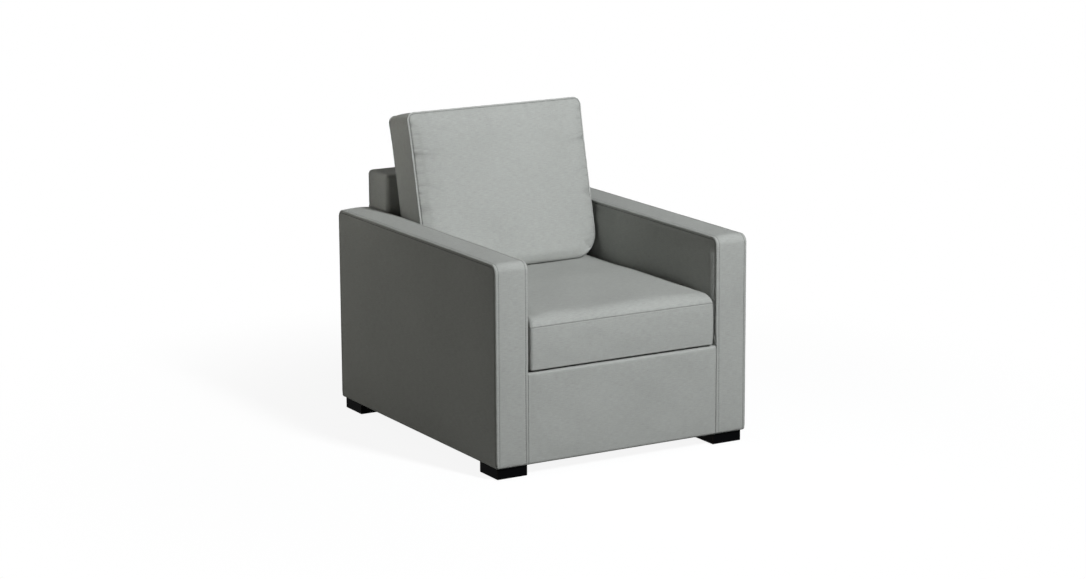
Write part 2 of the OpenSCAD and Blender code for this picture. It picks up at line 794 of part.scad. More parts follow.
module back_zip_slider() color(steel) cushion_zip_place() translate([0, 0, -groove_d]) slider(cushion_zip_l);

// ---- The chair ----

front_rail();
rear_rail();
on_side("left") side_rail();  // left_side_rail
on_side("right") side_rail();  // right_side_rail
spring_rail();
on_side("left") arm_front_post();  // left_arm_front_post
on_side("right") arm_front_post();  // right_arm_front_post
on_side("left") arm_rear_post();  // left_arm_rear_post
on_side("right") arm_rear_post();  // right_arm_rear_post
on_side("left") arm_top_rail();  // left_arm_top_rail
on_side("right") arm_top_rail();  // right_arm_top_rail
on_side("left") back_post();  // left_back_post
on_side("right") back_post();  // right_back_post
back_top_rail();
back_lower_rail();
corner_blocks();
on_side("left") arm_inner_board();  // left_arm_inner_board
on_side("right") arm_inner_board();  // right_arm_inner_board
on_side("left") arm_outer_board();  // left_arm_outer_board
on_side("right") arm_outer_board();  // right_arm_outer_board
seat_springs();
spring_clips();
spring_ties();
back_webbing();
spring_cloth();
deck_pad();
deck_cloth();
on_side("left") arm_pad();  // left_arm_pad
on_side("right") arm_pad();  // right_arm_pad
front_pad();
back_pad();
rear_board();
rear_wadding();
on_side("left") arm_outer_panel();  // left_arm_outer_panel
on_side("right") arm_outer_panel();  // right_arm_outer_panel
on_side("left") arm_inner_panel();  // left_arm_inner_panel
on_side("right") arm_inner_panel();  // right_arm_inner_panel
on_side("left") arm_band();  // left_arm_band
on_side("right") arm_band();  // right_arm_band
front_panel();
inside_back_panel();
outside_back_panel();
dust_cover();
foot(-1, -1);  // front_left_foot
foot(1, -1);  // front_right_foot
foot(-1, 1);  // rear_left_foot
foot(1, 1);  // rear_right_foot
foot_bolts();
tee_nuts();
foot_glides();
seat_cushion_cover();
seat_cushion_core();
seat_cushion_zip();
seat_zip_slider();
back_cushion_cover();
back_cushion_core();
back_cushion_zip();
back_zip_slider();
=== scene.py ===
# %% [markdown]
# An upholstered armchair, dressed in grey linen. The hard parts, the timber, the springs, the feet and
# the zips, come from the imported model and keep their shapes. Everything soft is made again here: the
# covers that are pulled over the arms and the back, and the two loose cushions. The first cell loads
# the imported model, so that each piece can be put where the model says.

# %% Load the frame
import math
import bpy
import bmesh
import numpy as np
from mathutils import Matrix, Vector


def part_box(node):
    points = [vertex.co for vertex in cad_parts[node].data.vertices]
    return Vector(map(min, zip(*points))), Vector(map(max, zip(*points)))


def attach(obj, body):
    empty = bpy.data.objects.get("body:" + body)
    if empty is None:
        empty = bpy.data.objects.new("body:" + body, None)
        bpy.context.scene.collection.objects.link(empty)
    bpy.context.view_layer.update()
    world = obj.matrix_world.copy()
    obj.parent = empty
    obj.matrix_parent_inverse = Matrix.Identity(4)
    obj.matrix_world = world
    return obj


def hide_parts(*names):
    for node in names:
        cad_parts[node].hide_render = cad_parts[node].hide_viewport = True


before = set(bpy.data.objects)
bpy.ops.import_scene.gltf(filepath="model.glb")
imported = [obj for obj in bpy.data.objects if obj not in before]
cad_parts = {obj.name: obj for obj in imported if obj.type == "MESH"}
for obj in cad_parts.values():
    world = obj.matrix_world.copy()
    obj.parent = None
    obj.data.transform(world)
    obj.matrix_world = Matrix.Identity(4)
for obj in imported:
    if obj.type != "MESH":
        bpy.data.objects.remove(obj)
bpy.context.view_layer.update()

# %% [markdown]
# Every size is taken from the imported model, so a piece follows the model if that changes. Lengths are
# kept in millimetres, because seams and stitches are easier to think about that way, and they are
# turned to metres only when a mesh is made.

# %% Planes of the chair
def low(node):
    return 1000 * np.array(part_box(node)[0])


def high(node):
    return 1000 * np.array(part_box(node)[1])


X_OUT = high("right_arm_outer_panel")[0]
X_IN = low("right_arm_inner_panel")[0]
FOLD = X_OUT - low("right_arm_outer_panel")[0]
Y_FRONT, BODY_Z = low("right_arm_band")[1:]
Y_REAR, ARM_H = high("right_arm_band")[1:]
Y_BACK, TUCK_Z = low("inside_back_panel")[1:]
BACK_H = high("inside_back_panel")[2]
ROLL_Y = low("deck_cloth")[1]
DECK_H = high("deck_cloth")[2]
ARM_R = 24        # radius of the arms' top corners, seen from the side
HEM_R = 8         # rounding where the covers turn under the frame
DECK_R = 7        # rounding of the deck's front edge
BACK_R = 12       # rounding of the frame back's edges
SEAM = 1.4        # how deep a seam lies under the covers
WRAP = 7.5        # how far an arm's band goes round the arm's edge before its seam
print(f"arms {X_IN:.0f} to {X_OUT:.0f} mm from the middle and {ARM_H:.0f} high, deck at {DECK_H:.0f},",
      f"frame back {Y_BACK:.0f} to {Y_REAR:.0f} and {BACK_H:.0f} high")

# %% [markdown]
# A finish is easier to read as a sum than as a web of nodes. The class below wraps the output of a
# node, so that an expression such as 0.5 + 0.5 * weave adds the Math nodes that it needs. Any other
# node comes from one method, which sets the node's settings first and its sockets after that.

# %% Sums that write nodes
def add_node(tree, kind, settings=None, sockets=None):
    """Add a node, with its settings first and then the values or links of its sockets."""
    node = tree.nodes.new(kind)
    for name, value in (settings or {}).items():
        setattr(node, name, value)
    for key, value in (sockets or {}).items():
        slot = next((s for s in node.inputs if s.identifier == key), None) or node.inputs[key]
        value = getattr(value, "socket", value)
        if isinstance(value, bpy.types.NodeSocket):
            tree.links.new(value, slot)
        else:
            slot.default_value = value
    return node


class Value:
    """The output of a node, which can be used in a sum."""

    def __init__(self, tree, socket):
        self.tree, self.socket = tree, socket

    def sum(self, operation, *inputs):
        node = add_node(self.tree, "ShaderNodeMath", {"operation": operation}, dict(enumerate(inputs)))
        return Value(self.tree, node.outputs[0])

    def __add__(self, other):
        return self.sum("ADD", self, other)

    def __mul__(self, other):
        return self.sum("MULTIPLY", self, other)

    __radd__, __rmul__ = __add__, __mul__

    def __sub__(self, other):
        return self.sum("SUBTRACT", self, other)

    def __rsub__(self, other):
        return self.sum("SUBTRACT", other, self)

    def sin(self):
        return self.sum("SINE", self)

    def abs(self):
        return self.sum("ABSOLUTE", self)

    def least(self, other):
        return self.sum("MINIMUM", self, other)

    def most(self, other):
        return self.sum("MAXIMUM", self, other)


print("sums are written with the class", Value.__name__)

# %% [markdown]
# Every finish here is one Principled surface and the nodes that feed it, so one class holds both. Many
# of the small hard parts need just one noise, which their colour, roughness and relief all follow.

# %% Finishes
class Finish:
    """A material with one Principled surface, and the nodes that feed it."""

    def __init__(self, name, colour, **constants):
        self.material = bpy.data.materials.new(name)
        self.material.use_nodes = True
        self.material.diffuse_color = (*colour, 1)
        self.tree = self.material.node_tree
        self.surface = self.tree.nodes["Principled BSDF"]
        self.surface.inputs["Base Color"].default_value = (*colour, 1)
        for socket, value in constants.items():
            self.surface.inputs[socket.replace("_", " ")].default_value = value

    def node(self, kind, settings=None, sockets=None, out=0):
        return Value(self.tree, add_node(self.tree, kind, settings, sockets).outputs[out])

    def noise(self, scale, detail=2.0, roughness=0.5, at=None):
        return self.node("ShaderNodeTexNoise", None, {
            "Vector": at or self.place(), "Scale": scale, "Detail": detail, "Roughness": roughness})

    def split(self, vector):
        apart = add_node(self.tree, "ShaderNodeSeparateXYZ", None, {"Vector": vector})
        return [Value(self.tree, output) for output in apart.outputs]

    def vector(self, x, y, z=0.0):
        return self.node("ShaderNodeCombineXYZ", None, {"X": x, "Y": y, "Z": z})

    def place(self):
        return self.node("ShaderNodeTexCoord", None, None, out=3)

    def shaded(self, colour, factor):
        return self.node("ShaderNodeVectorMath", {"operation": "SCALE"}, {"Vector": colour, "Scale": factor})

    def between(self, low_colour, high_colour, factor):
        sides = {"A_Color": low_colour, "B_Color": high_colour}
        sides = {k: v if isinstance(v, Value) else (*v, 1) for k, v in sides.items()}
        return self.node("ShaderNodeMix", {"data_type": "RGBA"}, {"Factor_Float": factor, **sides}, out=2)

    def feed(self, socket, value):
        self.tree.links.new(value.socket, self.surface.inputs[socket])

    def bump(self, height, distance):
        self.feed("Normal", self.node("ShaderNodeBump", None, {
            "Height": height, "Distance": distance, "Strength": 1.0}))


def speckled(name, colour, noise, between=None, shades=None, roughness=None, relief=None, **constants):
    """A finish whose colour, roughness and relief all follow one noise."""
    finish = Finish(name, colour, **constants)
    speck = finish.noise(*noise)
    if between:
        finish.feed("Base Color", finish.between(*between, speck))
    if shades:
        finish.feed("Base Color", finish.shaded(colour, shades[0] + shades[1] * speck))
    if roughness:
        finish.feed("Roughness", roughness[0] + roughness[1] * speck)
    if relief:
        finish.bump(speck, relief)
    return finish


print("finishes are made with the class", Finish.__name__)

# %% [markdown]
# The cover is a plain linen weave in a warm, light grey. Up close it is threads, about a millimetre
# apart. From a step back, what shows is that some weft threads are thicker and darker for a few
# centimetres, the slubs, and that the cloth is a little uneven over a hand's width. Each piece
# carries a map in metres, laid along its own threads, so the weave has the same size everywhere.
# Where a cover dives into a seam, shade is painted into the cloth, and the pieces say where that is. The
# back cushion's ridge gets a painted highlight the same way.

# %% Linen
THREAD = 0.0009   # spacing of the threads, in metres
linen = Finish("grey_linen", (0.362, 0.369, 0.352), Specular_IOR_Level=0.08)
across, along, _ = linen.split(linen.node("ShaderNodeUVMap", {"uv_map": "cloth"}))


def cloth_noise(per_m_across, per_m_along, shift, detail, roughness=0.5):
    return linen.noise(1.0, detail, roughness,
                       linen.vector(across * per_m_across, along * per_m_along, shift))


wander = cloth_noise(60, 25, 0.0, 1.0)
weft = ((along + 0.0012 * wander) * (2 * math.pi / THREAD)).sin()
warp = ((across + 0.0012 * wander) * (2 * math.pi / THREAD)).sin()
weave = 0.5 + 0.5 * weft * warp
slub = cloth_noise(55, 640, 0.0, 3.0, 0.6)
cross_slub = cloth_noise(760, 50, 7.0, 2.0, 0.6)
mottle = cloth_noise(38, 55, 3.0, 3.0, 0.55)
tone = cloth_noise(4, 4, 5.0, 1.0)
# painted shading: shade painted into seams, creases and stitch dimples, and a highlight painted on the back
# cushion's ridge
painted_seam_shading = linen.node("ShaderNodeAttribute", {"attribute_name": "painted_seam_shading"}, None, out=2)
# the last factor paints that shade and highlight into the cloth's colour
level = (1.0 + 0.50 * (slub - 0.5) + 0.16 * (cross_slub - 0.5) + 0.10 * (mottle - 0.5)
         + 0.12 * (tone - 0.5) + 0.05 * (weave - 0.5)) * (1.0 - 0.55 * painted_seam_shading)
warmth = linen.between((0.366, 0.367, 0.341), (0.356, 0.371, 0.363), cross_slub)
linen.feed("Base Color", linen.shaded(warmth, level))
linen.feed("Roughness", 0.84 + 0.16 * slub)
linen.bump(0.35 * weave + 0.8 * slub + 0.25 * cross_slub + 0.35 * mottle, 0.0004)
print("linen:", len(linen.tree.nodes), "nodes")

# %% [markdown]
# A cover is made as a grid. Its rows and columns are a few millimetres apart, but beside a seam they
# come much closer together, because that is where the cloth bends sharply: it dives more than a
# millimetre into the seam at once, and rolls up out of it. Two ways of sewing show on this chair.
# On the plain side the cloth just rolls out of the seam. On the lapped side the spare cloth is folded
# under it and stitched down nine millimetres from the seam, so that a raised strip runs along the
# seam, with a dimple where the stitches pull it down.

# %% Seam profiles and grid lines
SEAM_LINES = np.array([0, .4, .9, 1.6, 2.6, 3.8, 5.4, 7, 8.2, 8.8, 9.2, 9.6, 10.4, 12, 14.5, 18])
PLAIN = np.array([-SEAM, -.55, -.05, .25, .35, .3, .16, .05, 0, 0, 0, 0, 0, 0, 0, 0])
LAPPED = np.array([-SEAM, .1, .65, 1.0, 1.15, 1.1, .95, .55, -.15, -.5, -.58, -.5, -.05, .4, .5, .4])
STITCH_LINE = 10  # the place of the stitches among the seam lines


def lines(start, end, seam_start=True, seam_end=True, step=6.0, near=SEAM_LINES):
    """Positions of grid lines from start to end, crowded beside a seam."""
    first = start + near if seam_start else np.array([start])
    last = end - near[::-1] if seam_end else np.array([end])
    count = max(1, round((last[0] - first[-1]) / step))
    return np.concatenate([first, np.linspace(first[-1], last[0], count + 1)[1:-1], last])


def soft(t):
    """A smooth step from 0 to 1."""
    t = np.clip(t, 0, 1)
    return t * t * (3 - 2 * t)


def waves(seed, *where_and_size):
    """Slow, irregular unevenness between about -1 and 1, from a few sine waves."""
    draw = np.random.default_rng(seed)
    total = 0
    for _ in range(7):
        phase = draw.uniform(0, 2 * math.pi)
        for position, size in where_and_size:
            phase = phase + 2 * math.pi * position / (size * draw.uniform(0.7, 1.9)) * draw.choice([-1, 1])
        total = total + np.sin(phase)
    return total / 2.6


print(len(SEAM_LINES), "grid lines beside each seam, and the stitches on line", STITCH_LINE)

# %% [markdown]
# One function turns such grids into a piece. It checks that the faces point outwards, gives the piece
# its map along the threads and its seam shading, and welds the grids where they share an edge.

# %% From grids to a piece
def face_grid(index):
    return np.stack([index[:-1, :-1], index[1:, :-1], index[1:, 1:], index[:-1, 1:]], -1).reshape(-1, 4)


def facing(points, quads):
    """The direction in which each face looks, as a vector twice as long as the face is large."""
    return np.cross(points[quads[:, 2]] - points[quads[:, 0]], points[quads[:, 3]] - points[quads[:, 1]])


def looks_inwards(points, quads, outward):
    return (facing(points, quads) * outward[quads[:, 0]]).sum() < 0


CLOTH = 1.6      # thickness of the cover's cloth, in millimetres
WELD = 0.00003   # grids are joined where their points are this close, in metres


def add_piece(name, points, outward, grids, shade, finish, wall=CLOTH):
    """Make a mesh from points in millimetres and grids of (the points' indices, map along the threads)."""
    quads, maps = [], []
    for index, cloth in grids:
        spot = face_grid(np.arange(index.size).reshape(index.shape))
        faces = index.reshape(-1)[spot]
        if looks_inwards(points, faces, outward):
            faces, spot = faces[:, ::-1], spot[:, ::-1]
        quads.append(faces)
        maps.append(cloth.reshape(-1, 2)[spot])
    quads, maps = np.concatenate(quads), np.concatenate(maps)
    mesh = bpy.data.meshes.new(name)
    mesh.from_pydata((points * 0.001).tolist(), [], quads.tolist())
    mesh.uv_layers.new(name="cloth").data.foreach_set("uv", (maps * 0.001).astype(np.float32).ravel())
    # each point's painted shading: shade in seams and creases, a highlight on ridges
    mesh.attributes.new("painted_seam_shading", "FLOAT", "POINT").data.foreach_set(
        "value", np.broadcast_to(shade, len(points)).astype(np.float32).ravel())
    welded = bmesh.new()
    welded.from_mesh(mesh)
    bmesh.ops.remove_doubles(welded, verts=welded.verts, dist=WELD)
    bmesh.ops.delete(welded, geom=[v for v in welded.verts if not v.link_faces], context="VERTS")
    welded.to_mesh(mesh)
    welded.free()
    mesh.shade_smooth()
    mesh.materials.append(finish.material)
    piece = bpy.data.objects.new(name, mesh)
    bpy.context.collection.objects.link(piece)
    if wall:
        skin = piece.modifiers.new("wall", "SOLIDIFY")
        skin.thickness, skin.offset = wall * 0.001, -1
    print(f"{name}: {len(mesh.polygons)} faces")
    return piece


def grid_piece(name, patches, finish, wall=CLOTH):
    """Make a piece from patches of (points, outward, map, shade), each a grid."""
    points, outward, shade, grids, start = [], [], [], [], 0
    for place, way, cloth, painted_shading in patches:
        size = place.shape[:2]
        grids.append((start + np.arange(size[0] * size[1]).reshape(size), cloth))
        points.append(place.reshape(-1, 3))
        outward.append(np.broadcast_to(way, place.shape).reshape(-1, 3))
        shade.append(np.broadcast_to(painted_shading, size).reshape(-1))
        start += size[0] * size[1]
    return add_piece(name, np.concatenate(points), np.concatenate(outward), grids,
                     np.concatenate(shade), finish, wall)


print(f"the cover's cloth is {CLOTH} mm thick")

# %% [markdown]
# All covers have some things in common. Each rides on a body and stands for imported nodes, with their
# padding inside it. Each is cut somewhere else from the bolt of cloth, and has shade painted into its seams.

# %% What the covers share
def padded(piece, body, fill, *nodes):
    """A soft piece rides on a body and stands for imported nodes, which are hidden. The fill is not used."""
    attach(piece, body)
    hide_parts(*nodes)


def cover(name, patches, *nodes):
    """A cover of the chair's body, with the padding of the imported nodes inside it."""
    padded(grid_piece(name, patches, linen), "chair", 0.9, *nodes)


def arm_covers(part, patch_of, seed, *nodes):
    """The same cover on the left arm and on the right one, as its mirror image."""
    for arm, side in (("left", -1), ("right", 1)):
        cover(f"{arm}_arm_{part}_cover", [patch_of(side, seed + side)], *(f"{arm}_arm_{n}" for n in nodes))


def bell(distance, width):
    """1 at no distance, and nearly 0 from twice the width on."""
    return np.exp(-(distance / width) ** 2)


# Painted shade: how much darker the cloth is coloured where it dives into a seam.
def painted_seam_darkening(depth, width=0.8):
    return bell(np.maximum(depth, 0), width)


def stack(*parts):
    return np.stack(np.broadcast_arrays(*parts), -1)


# Where each cover lies on the bolt of cloth, in millimetres, so that no two of them look alike.
BOLT = {"outer": 2000, "band": 4000, "inner": 6000, "front": 9000, "cap": 12000, "back": 15000,
        "deck": 18000, "seat": 21000, "cushion": 31000}
PANEL_APART = 2500   # from one panel of a cushion to the next
stitch_runs = {"chair": [], "back_cushion": []}   # the paths that the stitches will follow later
print("covers are cut from", len(BOLT), "places on the bolt")

# %% [markdown]
# The covers turn under the frame all round, and are stapled there. The hem is a strip of flat cloth
# under the frame and a quarter turn round the bottom edge. At the corners two hems meet in a mitre, so
# each one gets shorter as it goes in.

# %% The hem
def hem():
    """Rows of a hem: how far it is in from the face, its height, and its direction out and down."""
    turn = np.radians(np.linspace(90, 0, 7))[1:]
    flat = np.linspace(FOLD, HEM_R, 4)
    inset = np.concatenate([flat, HEM_R * (1 - np.cos(turn))])
    height = np.concatenate([np.full(4, BODY_Z), BODY_Z + HEM_R * (1 - np.sin(turn))])
    return (inset, height, np.concatenate([np.zeros(4), np.cos(turn)]),
            np.concatenate([np.ones(4), np.sin(turn)]))


def mitre(position, start, end, inset):
    """Move columns in at both ends by the inset, and keep the crowded lines beside the seams."""
    reach = SEAM_LINES[-1]
    share = np.interp(position, [start + reach, end - reach], [1, -1])
    return position + share * inset


def round_top(a, b, left, right, top, radius):
    """Pull the two upper corners of a grid round to an arc."""
    across, up = a.copy(), b.copy()
    v = (b - (top - radius)) / radius
    for centre, sign in ((left + radius, -1), (right - radius, 1)):
        u = sign * (a - centre) / radius
        corner = (u > 0) & (v > 0)
        across = np.where(corner, centre + sign * radius * u * np.sqrt(np.maximum(1 - v * v / 2, 0)), across)
        up = np.where(corner, top - radius + radius * v * np.sqrt(np.maximum(1 - u * u / 2, 0)), up)
    return across, up


def depth_in(a, b, left, right, top, radius):
    """How far a point lies inside an outline that is open below and has rounded upper corners."""
    u = np.maximum(left + radius - a, a - (right - radius))
    v = b - (top - radius)
    return np.where((u > 0) & (v > 0), radius - np.hypot(u, v), np.minimum(radius - u, radius - v))


def up_from_hem(upright):
    """Columns for rows that start with the hem: inset, height, and direction out and down."""
    still = 0 * upright
    return (np.concatenate(rows)[:, None] for rows in zip(hem_rows, (still, upright, still + 1, still)))


hem_rows = hem()
print(f"a hem has {len(hem_rows[0])} rows and goes {FOLD:.0f} mm under the frame")

# %% [markdown]
# The outside of an arm is one flat panel, pulled tight over a thin board and a layer of wadding. It is
# seamed to the arm's band along the front, the top and the rear. It could be a plain box with a
# texture, but the seams are what makes the eye read cloth, so its edges really dive into them.

# %% Outside panels of the arms
def outer_cover(side, seed):
    inset, z, out, down = up_from_hem(lines(BODY_Z + HEM_R, ARM_H - WRAP, False, True)[1:])
    y, z = np.broadcast_arrays(lines(Y_FRONT + WRAP, Y_REAR - WRAP), z)
    outline = (Y_FRONT + WRAP, Y_REAR - WRAP, ARM_H - WRAP, ARM_R - WRAP)
    depth = depth_in(*round_top(y, z, *outline), *outline)
    wider = (WRAP - SEAM) * (1 - soft((z - BODY_Z - 2) / 16))
    y, z = round_top(mitre(y, *outline[:2], inset - wider), z, *outline)
    inner = soft(depth / 30) * soft((z - BODY_Z) / 60)
    rise = np.interp(depth, SEAM_LINES, PLAIN) + inner * (0.8 + 0.5 * waves(seed, (y, 260), (z, 320)))
    rise = rise + 0.22 * soft(depth / 4) * np.exp(-depth / 22) * waves(seed + 1, (y + z, 34), (z - y, 60)) \
        * soft((z - BODY_Z) / 40)
    points = stack(side * (X_OUT - inset + out * rise), y, z - down * rise)
    cloth = stack(y + BOLT["outer"] + 300 * side, z + side * 500)
    # painted shade along the panel's seams
    return points, stack(side * out, 0, -down), cloth, painted_seam_darkening(depth, 1.3)


arm_covers("outer", outer_cover, 10, "outer_panel")

# %% [markdown]
# Several covers follow a path: up from the hem, straight on, and round a corner. A path is a list of
# rows, each with its place seen from the side, the way the cloth faces there, and how far the hem is
# in from the side.

# %% Paths round the chair
def arc_rows(centre_y, centre_z, radius, start, end, steps):
    angle = np.radians(np.linspace(start, end, steps + 1))[1:]
    return stack(centre_y + radius * np.cos(angle), centre_z + radius * np.sin(angle),
                 np.cos(angle), np.sin(angle), 0 * angle)


def hem_path(plane, outwards):
    """The hem as rows of (y, z, direction in y, direction in z, inset), from under the frame upwards."""
    inset, z, out, down = hem_rows
    return stack(plane - outwards * inset, z, outwards * out, -down, inset)


def straight(y0, z0, y1, z1, facing_y, facing_z, step=6.0):
    count = max(1, round(math.hypot(y1 - y0, z1 - z0) / step))
    t = np.linspace(0, 1, count + 1)[1:]
    return stack(y0 + (y1 - y0) * t, z0 + (z1 - z0) * t, facing_y, facing_z, 0)


def over_path(x, path, rise):
    """Points at a height over a path, and the way they face."""
    y, z, face_y, face_z = (column[:, None] for column in path.T[:4])
    points = stack(x, y + face_y * rise, z + face_z * rise)
    return points, np.broadcast_to(stack(0, face_y, face_z), points.shape)


arm_path = np.concatenate([
    hem_path(Y_FRONT, -1),
    straight(Y_FRONT, BODY_Z + HEM_R, Y_FRONT, ARM_H - ARM_R, -1, 0),
    arc_rows(Y_FRONT + ARM_R, ARM_H - ARM_R, ARM_R, 180, 90, 10),
    straight(Y_FRONT + ARM_R, ARM_H, Y_REAR - ARM_R, ARM_H, 0, 1),
    arc_rows(Y_REAR - ARM_R, ARM_H - ARM_R, ARM_R, 90, 0, 10),
    straight(Y_REAR, ARM_H - ARM_R, Y_REAR, BODY_Z + HEM_R, 1, 0),
    hem_path(Y_REAR, 1)[:-1][::-1]])


def path_length(path):
    return np.concatenate([[0], np.cumsum(np.hypot(*np.diff(path[:, :2], axis=0).T))])


print(f"an arm's band follows {len(arm_path)} rows over {path_length(arm_path)[-1]:.0f} mm")

# %% [markdown]
# One band of cloth runs up the front of an arm, along its top and down its rear. It is a little wider
# than the arm, so it goes round the arm's edges, and its seams lie on the arm's two sides. They only
# come forward to the edge at the bottom, where the covers turn under, and beside the front panel. The
# spare cloth is folded under the band and stitched down. The wadding under it makes it a little round,
# most of all on the top, where an elbow rests. The band is made by walking along its path, row by row.

# %% Bands of the arms
# The lines beside an edge: how far in from the arm's side, and how high over the band's face, once for
# a seam at the edge itself and once for a seam round the corner.
FLAT_IN = SEAM + np.array([0, .3, .6, .9, 1.3, 1.8, 2.6, 3.6, 4.6, 5.6,
                           6.6, 7.4, 8, 8.5, 8.9, 9.3, 10.2, 11.8, 14, 17])
FLAT_RISE = np.interp(FLAT_IN - SEAM, SEAM_LINES, LAPPED)
ROUND_IN = np.array([SEAM, .3, -.15, -.25, -.15, .1, .6, 1.6, 3, 4.6,
                     6.2, 7.5, 8.3, 8.8, 9.3, 9.8, 10.8, 12.6, 15, SEAM + 17])
ROUND_RISE = np.array([-WRAP, -7.2, -6.5, -5.4, -4, -2.7, -1.3, -.2, .4, .65,
                       .65, .4, -.1, -.4, -.5, -.4, 0, .3, .4, .4])
BAND_STITCH = 14  # the place of the stitches among these lines


def band_edge(share, relief):
    """The lines beside one edge, row by row, for a seam that is round the corner by a share."""
    ends = np.arange(FLAT_IN.size) == 0
    rise = FLAT_RISE * relief - SEAM * ends * (1 - relief) + (ROUND_RISE - FLAT_RISE) * share
    return FLAT_IN + (ROUND_IN - FLAT_IN) * share, rise


def inner_turn(y, z):
    """Where the seam on the inside of an arm is round the corner: above the deck, before the frame back."""
    return soft((z - DECK_H - 8) / 30) * (1 - soft((y - Y_BACK + 34) / 20))


def band_cover(side, seed):
    y, z, _, face_z, inset = (column[:, None] for column in arm_path.T)
    travel = path_length(arm_path)[:, None]
    relief = soft((z - BODY_Z - 2) / 12)
    in_left, rise_left = band_edge(inner_turn(y, z), relief)
    in_right, rise_right = band_edge(soft((z - BODY_Z - 2) / 16), relief)
    middle = np.linspace(X_IN + FLAT_IN[-1], X_OUT - FLAT_IN[-1], 13)[1:-1] + 0 * z
    columns = np.concatenate([X_IN + in_left, middle, X_OUT - in_right[:, ::-1]], 1)
    rise = np.concatenate([rise_left, FLAT_RISE[-1] * relief + 0 * middle, rise_right[:, ::-1]], 1)
    across = np.cumsum(np.hypot(np.diff(columns, axis=1), np.diff(rise, axis=1)), 1)
    across = np.concatenate([0 * z, across], 1)
    depth = np.minimum(across, across[:, -1:] - across)
    t = np.clip(2 * (columns - X_IN - SEAM) / (X_OUT - X_IN - 2 * SEAM) - 1, -1, 1)
    x = columns - inset * np.interp(t, [-0.5, 0.5], [0, 1])
    plumpness = 1.2 + 1.8 * np.clip(face_z, 0, 1)
    above_hem = soft((z - BODY_Z) / 40)
    rise = rise + above_hem * ((1 - t * t) * plumpness + 0.35 * soft(depth / 20)
                               * waves(seed, (x, 90), (travel, 240)))
    pucker = np.where(t > 0, waves(seed + 1, (travel, 27)), waves(seed + 2, (travel, 27)))
    rise = rise + 0.16 * above_hem * pucker * soft(depth / 3) * np.exp(-depth / 16)
    points, outward = over_path(side * x, arm_path, rise)
    for column in (BAND_STITCH, -1 - BAND_STITCH):
        stitch_runs["chair"].append([part[z[:, 0] > BODY_Z + 6, column] for part in (points, outward)])
    # painted shade: a darker line in the dimple along the stitches, and darker cloth in the seams
    painted_stitch_shade = bell(np.minimum(columns - X_IN, X_OUT - columns) - ROUND_IN[BAND_STITCH], 1.0)
    cloth = stack(across + X_IN + 700 * side, travel + BOLT["band"])
    return points, outward, cloth, painted_seam_darkening(depth, 1.0) + 0.45 * painted_stitch_shade


arm_covers("band", band_cover, 20, "band", "pad")

# %% [markdown]
# The inside of an arm is softer than its outside. The panel swells six millimetres towards the seat
# and wraps round the front edge, where it shows as a rounded strip beside the seam. Towards the top
# the swelling runs out, and at the rear the panel is tucked in beside the frame back.

# %% Inside panels of the arms
INNER_SWELL = 6
EDGE_WRAP = 26    # how far from the seam the panel is full


def inner_cover(side, seed):
    outline = (Y_FRONT + WRAP, Y_REAR + 900, ARM_H - WRAP, ARM_R - WRAP)   # square at the hidden rear
    y, z = np.meshgrid(lines(Y_FRONT + WRAP, Y_BACK + 30, True, False),
                       lines(DECK_H - 20, ARM_H - WRAP, False, True))
    y, z = round_top(y, z, *outline)
    depth = depth_in(y, z, *outline)
    swell = INNER_SWELL * soft((ARM_H - WRAP - z) / 60) * (1 - soft((y - Y_BACK + 30) / 26)) \
        * soft((z - DECK_H) / 26)
    near_front, near_top = (np.clip(1 - gap / 40, 0, 1) for gap in (y - Y_FRONT - WRAP, ARM_H - WRAP - z))
    y, z = (y - (WRAP - SEAM) * near_front * (1 - inner_turn(Y_FRONT, z)),
            z + (WRAP - SEAM) * near_top * (1 - inner_turn(y, ARM_H)))
    wrap = 1 - (1 - np.clip(depth / EDGE_WRAP, 0, 1)) ** 2
    free = soft(swell / 2)
    rise = np.interp(depth, SEAM_LINES, PLAIN) + swell * wrap - 0.6 * (1 - free) \
        + free * soft(depth / 25) * 0.5 * waves(seed, (y, 200), (z, 150))
    # painted shade along the panel's seams, wider here on the inside of the arm
    return (stack(side * (X_IN - rise), y, z), np.array([-side, 0, 0]),
            stack(y + BOLT["inner"] + 300 * side, z + 1500), painted_seam_darkening(depth, 1.6))


arm_covers("inner", inner_cover, 30, "inner_panel")

# %% [markdown]
# The front panel comes up from under the frame, covers the front rail, turns over the soft edge of the
# deck and is sewn to the plain deck cloth there. The seat cushion hides that last seam.

# %% Front panel
path = np.concatenate([
    hem_path(Y_FRONT, -1),
    straight(Y_FRONT, BODY_Z + HEM_R, Y_FRONT, DECK_H - DECK_R, -1, 0, 5.0),
    arc_rows(Y_FRONT + DECK_R, DECK_H - DECK_R, DECK_R, 180, 90, 8),
    stack(lines(Y_FRONT + DECK_R, ROLL_Y, False, True)[1:], DECK_H, 0, 1, 0)])
travel, z, face_z = path_length(path)[:, None], path[:, 1:2], path[:, 3:4]
x = lines(-X_IN - SEAM, X_IN + SEAM, step=7)[None, :]
depth = np.minimum(X_IN + SEAM - abs(x), travel[-1] - travel)
above_hem = soft((z - BODY_Z) / 50)
swell = above_hem * soft(depth / 40) * (1 - np.clip(face_z, 0, 1))
rise = np.interp(depth, SEAM_LINES, PLAIN) + swell * (1.2 + 0.6 * waves(41, (x, 210), (z, 150))) \
    + 0.2 * above_hem * waves(42, (z, 30)) * soft(depth / 4) * np.exp(-depth / 20)
# painted shade along the front panel's seams
patch = (*over_path(x, path, rise), stack(x + BOLT["front"], travel), painted_seam_darkening(depth))
cover("front_cover", [patch], "front_panel", "front_pad")

# %% [markdown]
# The frame back wears a cap: one cover over its front, its top and its two sides. Its edges are soft,
# because there is wadding under them. The cap starts as three sides of a box. Each point is then
# pulled onto a box with rounded edges, by finding the nearest point of a smaller box inside and going
# out from there by the radius.

# %% Cap of the frame back
CAP_LINES = np.array([0, 2, 4, 6.5, 9, BACK_R])   # grid lines beside a rounded edge


